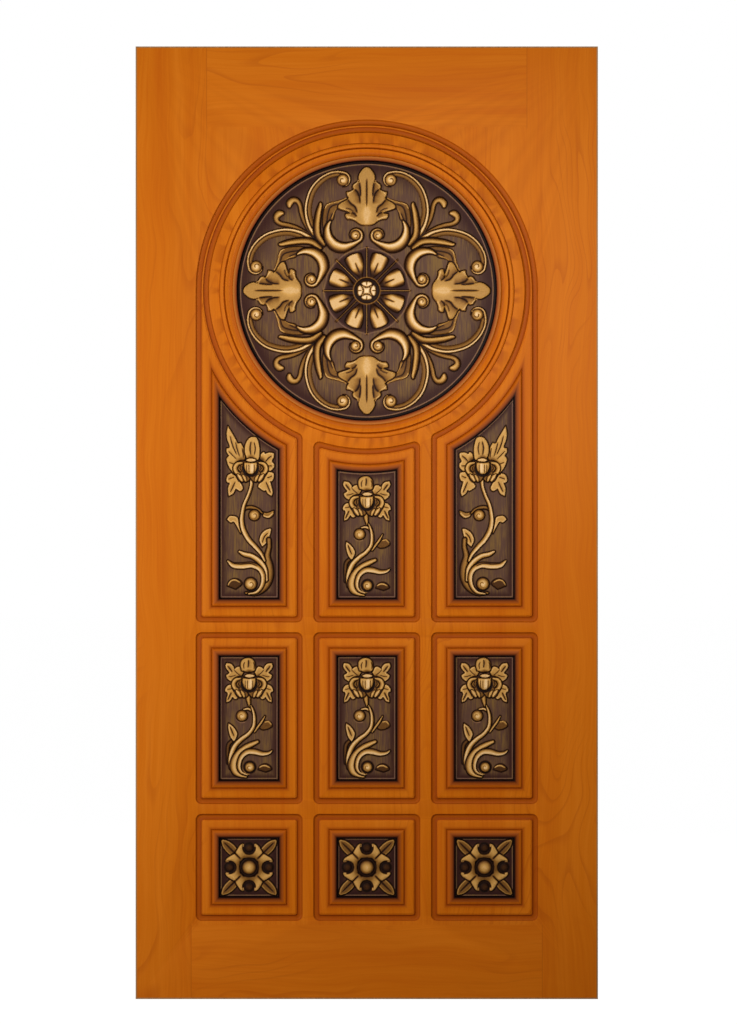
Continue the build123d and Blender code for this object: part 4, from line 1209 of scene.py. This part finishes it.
# Carried-over nodes: the edges, the back and what is inside
edge_wood = plain_finish("olive_brown_edge", colour(172, 124, 74), colour(140, 96, 48))
back_wood = wood_finish("stained_timber_back", glazed_and_shaded=False)
raw_wood = plain_finish("planed_softwood", colour(214, 178, 124), colour(184, 142, 90))
board_wood = plain_finish("pressed_board", colour(176, 138, 92), colour(146, 110, 70))
for name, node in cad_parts.items():
    if name.endswith("edge_band"):
        finish = edge_wood
    elif name == "back_skin":
        finish = back_wood
    elif name.startswith("core_panel"):
        finish = board_wood
    else:
        finish = raw_wood
    node.data.materials.clear()
    node.data.materials.append(finish)

# Floor: white to the camera and in its mirrors, and chalk grey to other light
FLOOR_REACH = 30
FLOOR_GLOW = 1.23
FLOOR_GREY = 0.4
GLOW_SHARE = 0.8
floor_mesh = bpy.data.meshes.new("floor")
turns = [(-1, -1), (1, -1), (1, 1), (-1, 1)]
floor_mesh.from_pydata([(x * FLOOR_REACH, y * FLOOR_REACH, 0) for x, y in turns], [], [(0, 1, 2, 3)])
floor = bpy.data.objects.new("floor", floor_mesh)
bpy.context.scene.collection.objects.link(floor)
pale = Finish("pale_floor")
white = pale.node("ShaderNodeEmission", None, {"Color": (1, 1, 1), "Strength": FLOOR_GLOW})
chalk = pale.node("ShaderNodeBsdfDiffuse", None, {"Color": (FLOOR_GREY, FLOOR_GREY, FLOOR_GREY)})
share = (pale.ray("Camera") + pale.ray("Glossy")).maths("MINIMUM", 1.0) * GLOW_SHARE
pale.feed(pale.tree.nodes["Material Output"].inputs["Surface"], pale.blend(share, chalk, white))
floor_mesh.materials.append(pale.material)

# World: white to the camera, and dim to other light
WORLD_LIGHT = 0.17
world = bpy.data.worlds.new("studio")
bpy.context.scene.world = world
world.use_nodes = True
sky = Nodes(world.node_tree)
dim, bright = (
    sky.node("ShaderNodeBackground", None, {"Color": (1, 1, 1), "Strength": strength})
    for strength in (WORLD_LIGHT, 1.0)
)
either = sky.ray("Camera").maths("MAXIMUM", sky.ray("Transmission"))
sky.feed(sky.tree.nodes["World Output"].inputs["Surface"], sky.blend(either, dim, bright))


def lamp(name, place, target, size, power):
    """A soft square lamp that looks at a target."""
    light = bpy.data.lights.new(name, "AREA")
    light.size, light.energy = size, power
    made = bpy.data.objects.new(name, light)
    made.location = place
    made.rotation_euler = (Vector(target) - Vector(place)).to_track_quat("-Z", "Y").to_euler()
    bpy.context.scene.collection.objects.link(made)


lamp("key", (0.37, -1.42, 1.5), (0.37, 0, 1.5), 0.6, 13)
lamp("broad left", (-1.6, -1.97, 1.14), (-1.6, 0, 1.14), 1.0, 39)
lamp("rear", (0.8, 3.0, 2.6), (0, 0, 1.0), 1.6, 60)

# Camera square to the face, as far off as makes the photograph's own scale
PHOTO_HEIGHT = 1024
PIXEL = 2.1415 * MM
LENS, SENSOR = 135, 36
CAMERA_ASIDE, CAMERA_HEIGHT = 0.0037, 1.043
distance = PHOTO_HEIGHT * PIXEL * LENS / SENSOR
camera_data = bpy.data.cameras.new("camera")
camera_data.lens, camera_data.sensor_width = LENS, SENSOR
camera = bpy.data.objects.new("camera", camera_data)
camera.location = (CAMERA_ASIDE, FACE_Y * MM - distance, CAMERA_HEIGHT)
camera.rotation_euler = (math.pi / 2, 0, 0)
bpy.context.scene.collection.objects.link(camera)
bpy.context.scene.camera = camera
bpy.context.scene.view_settings.view_transform = "Standard"
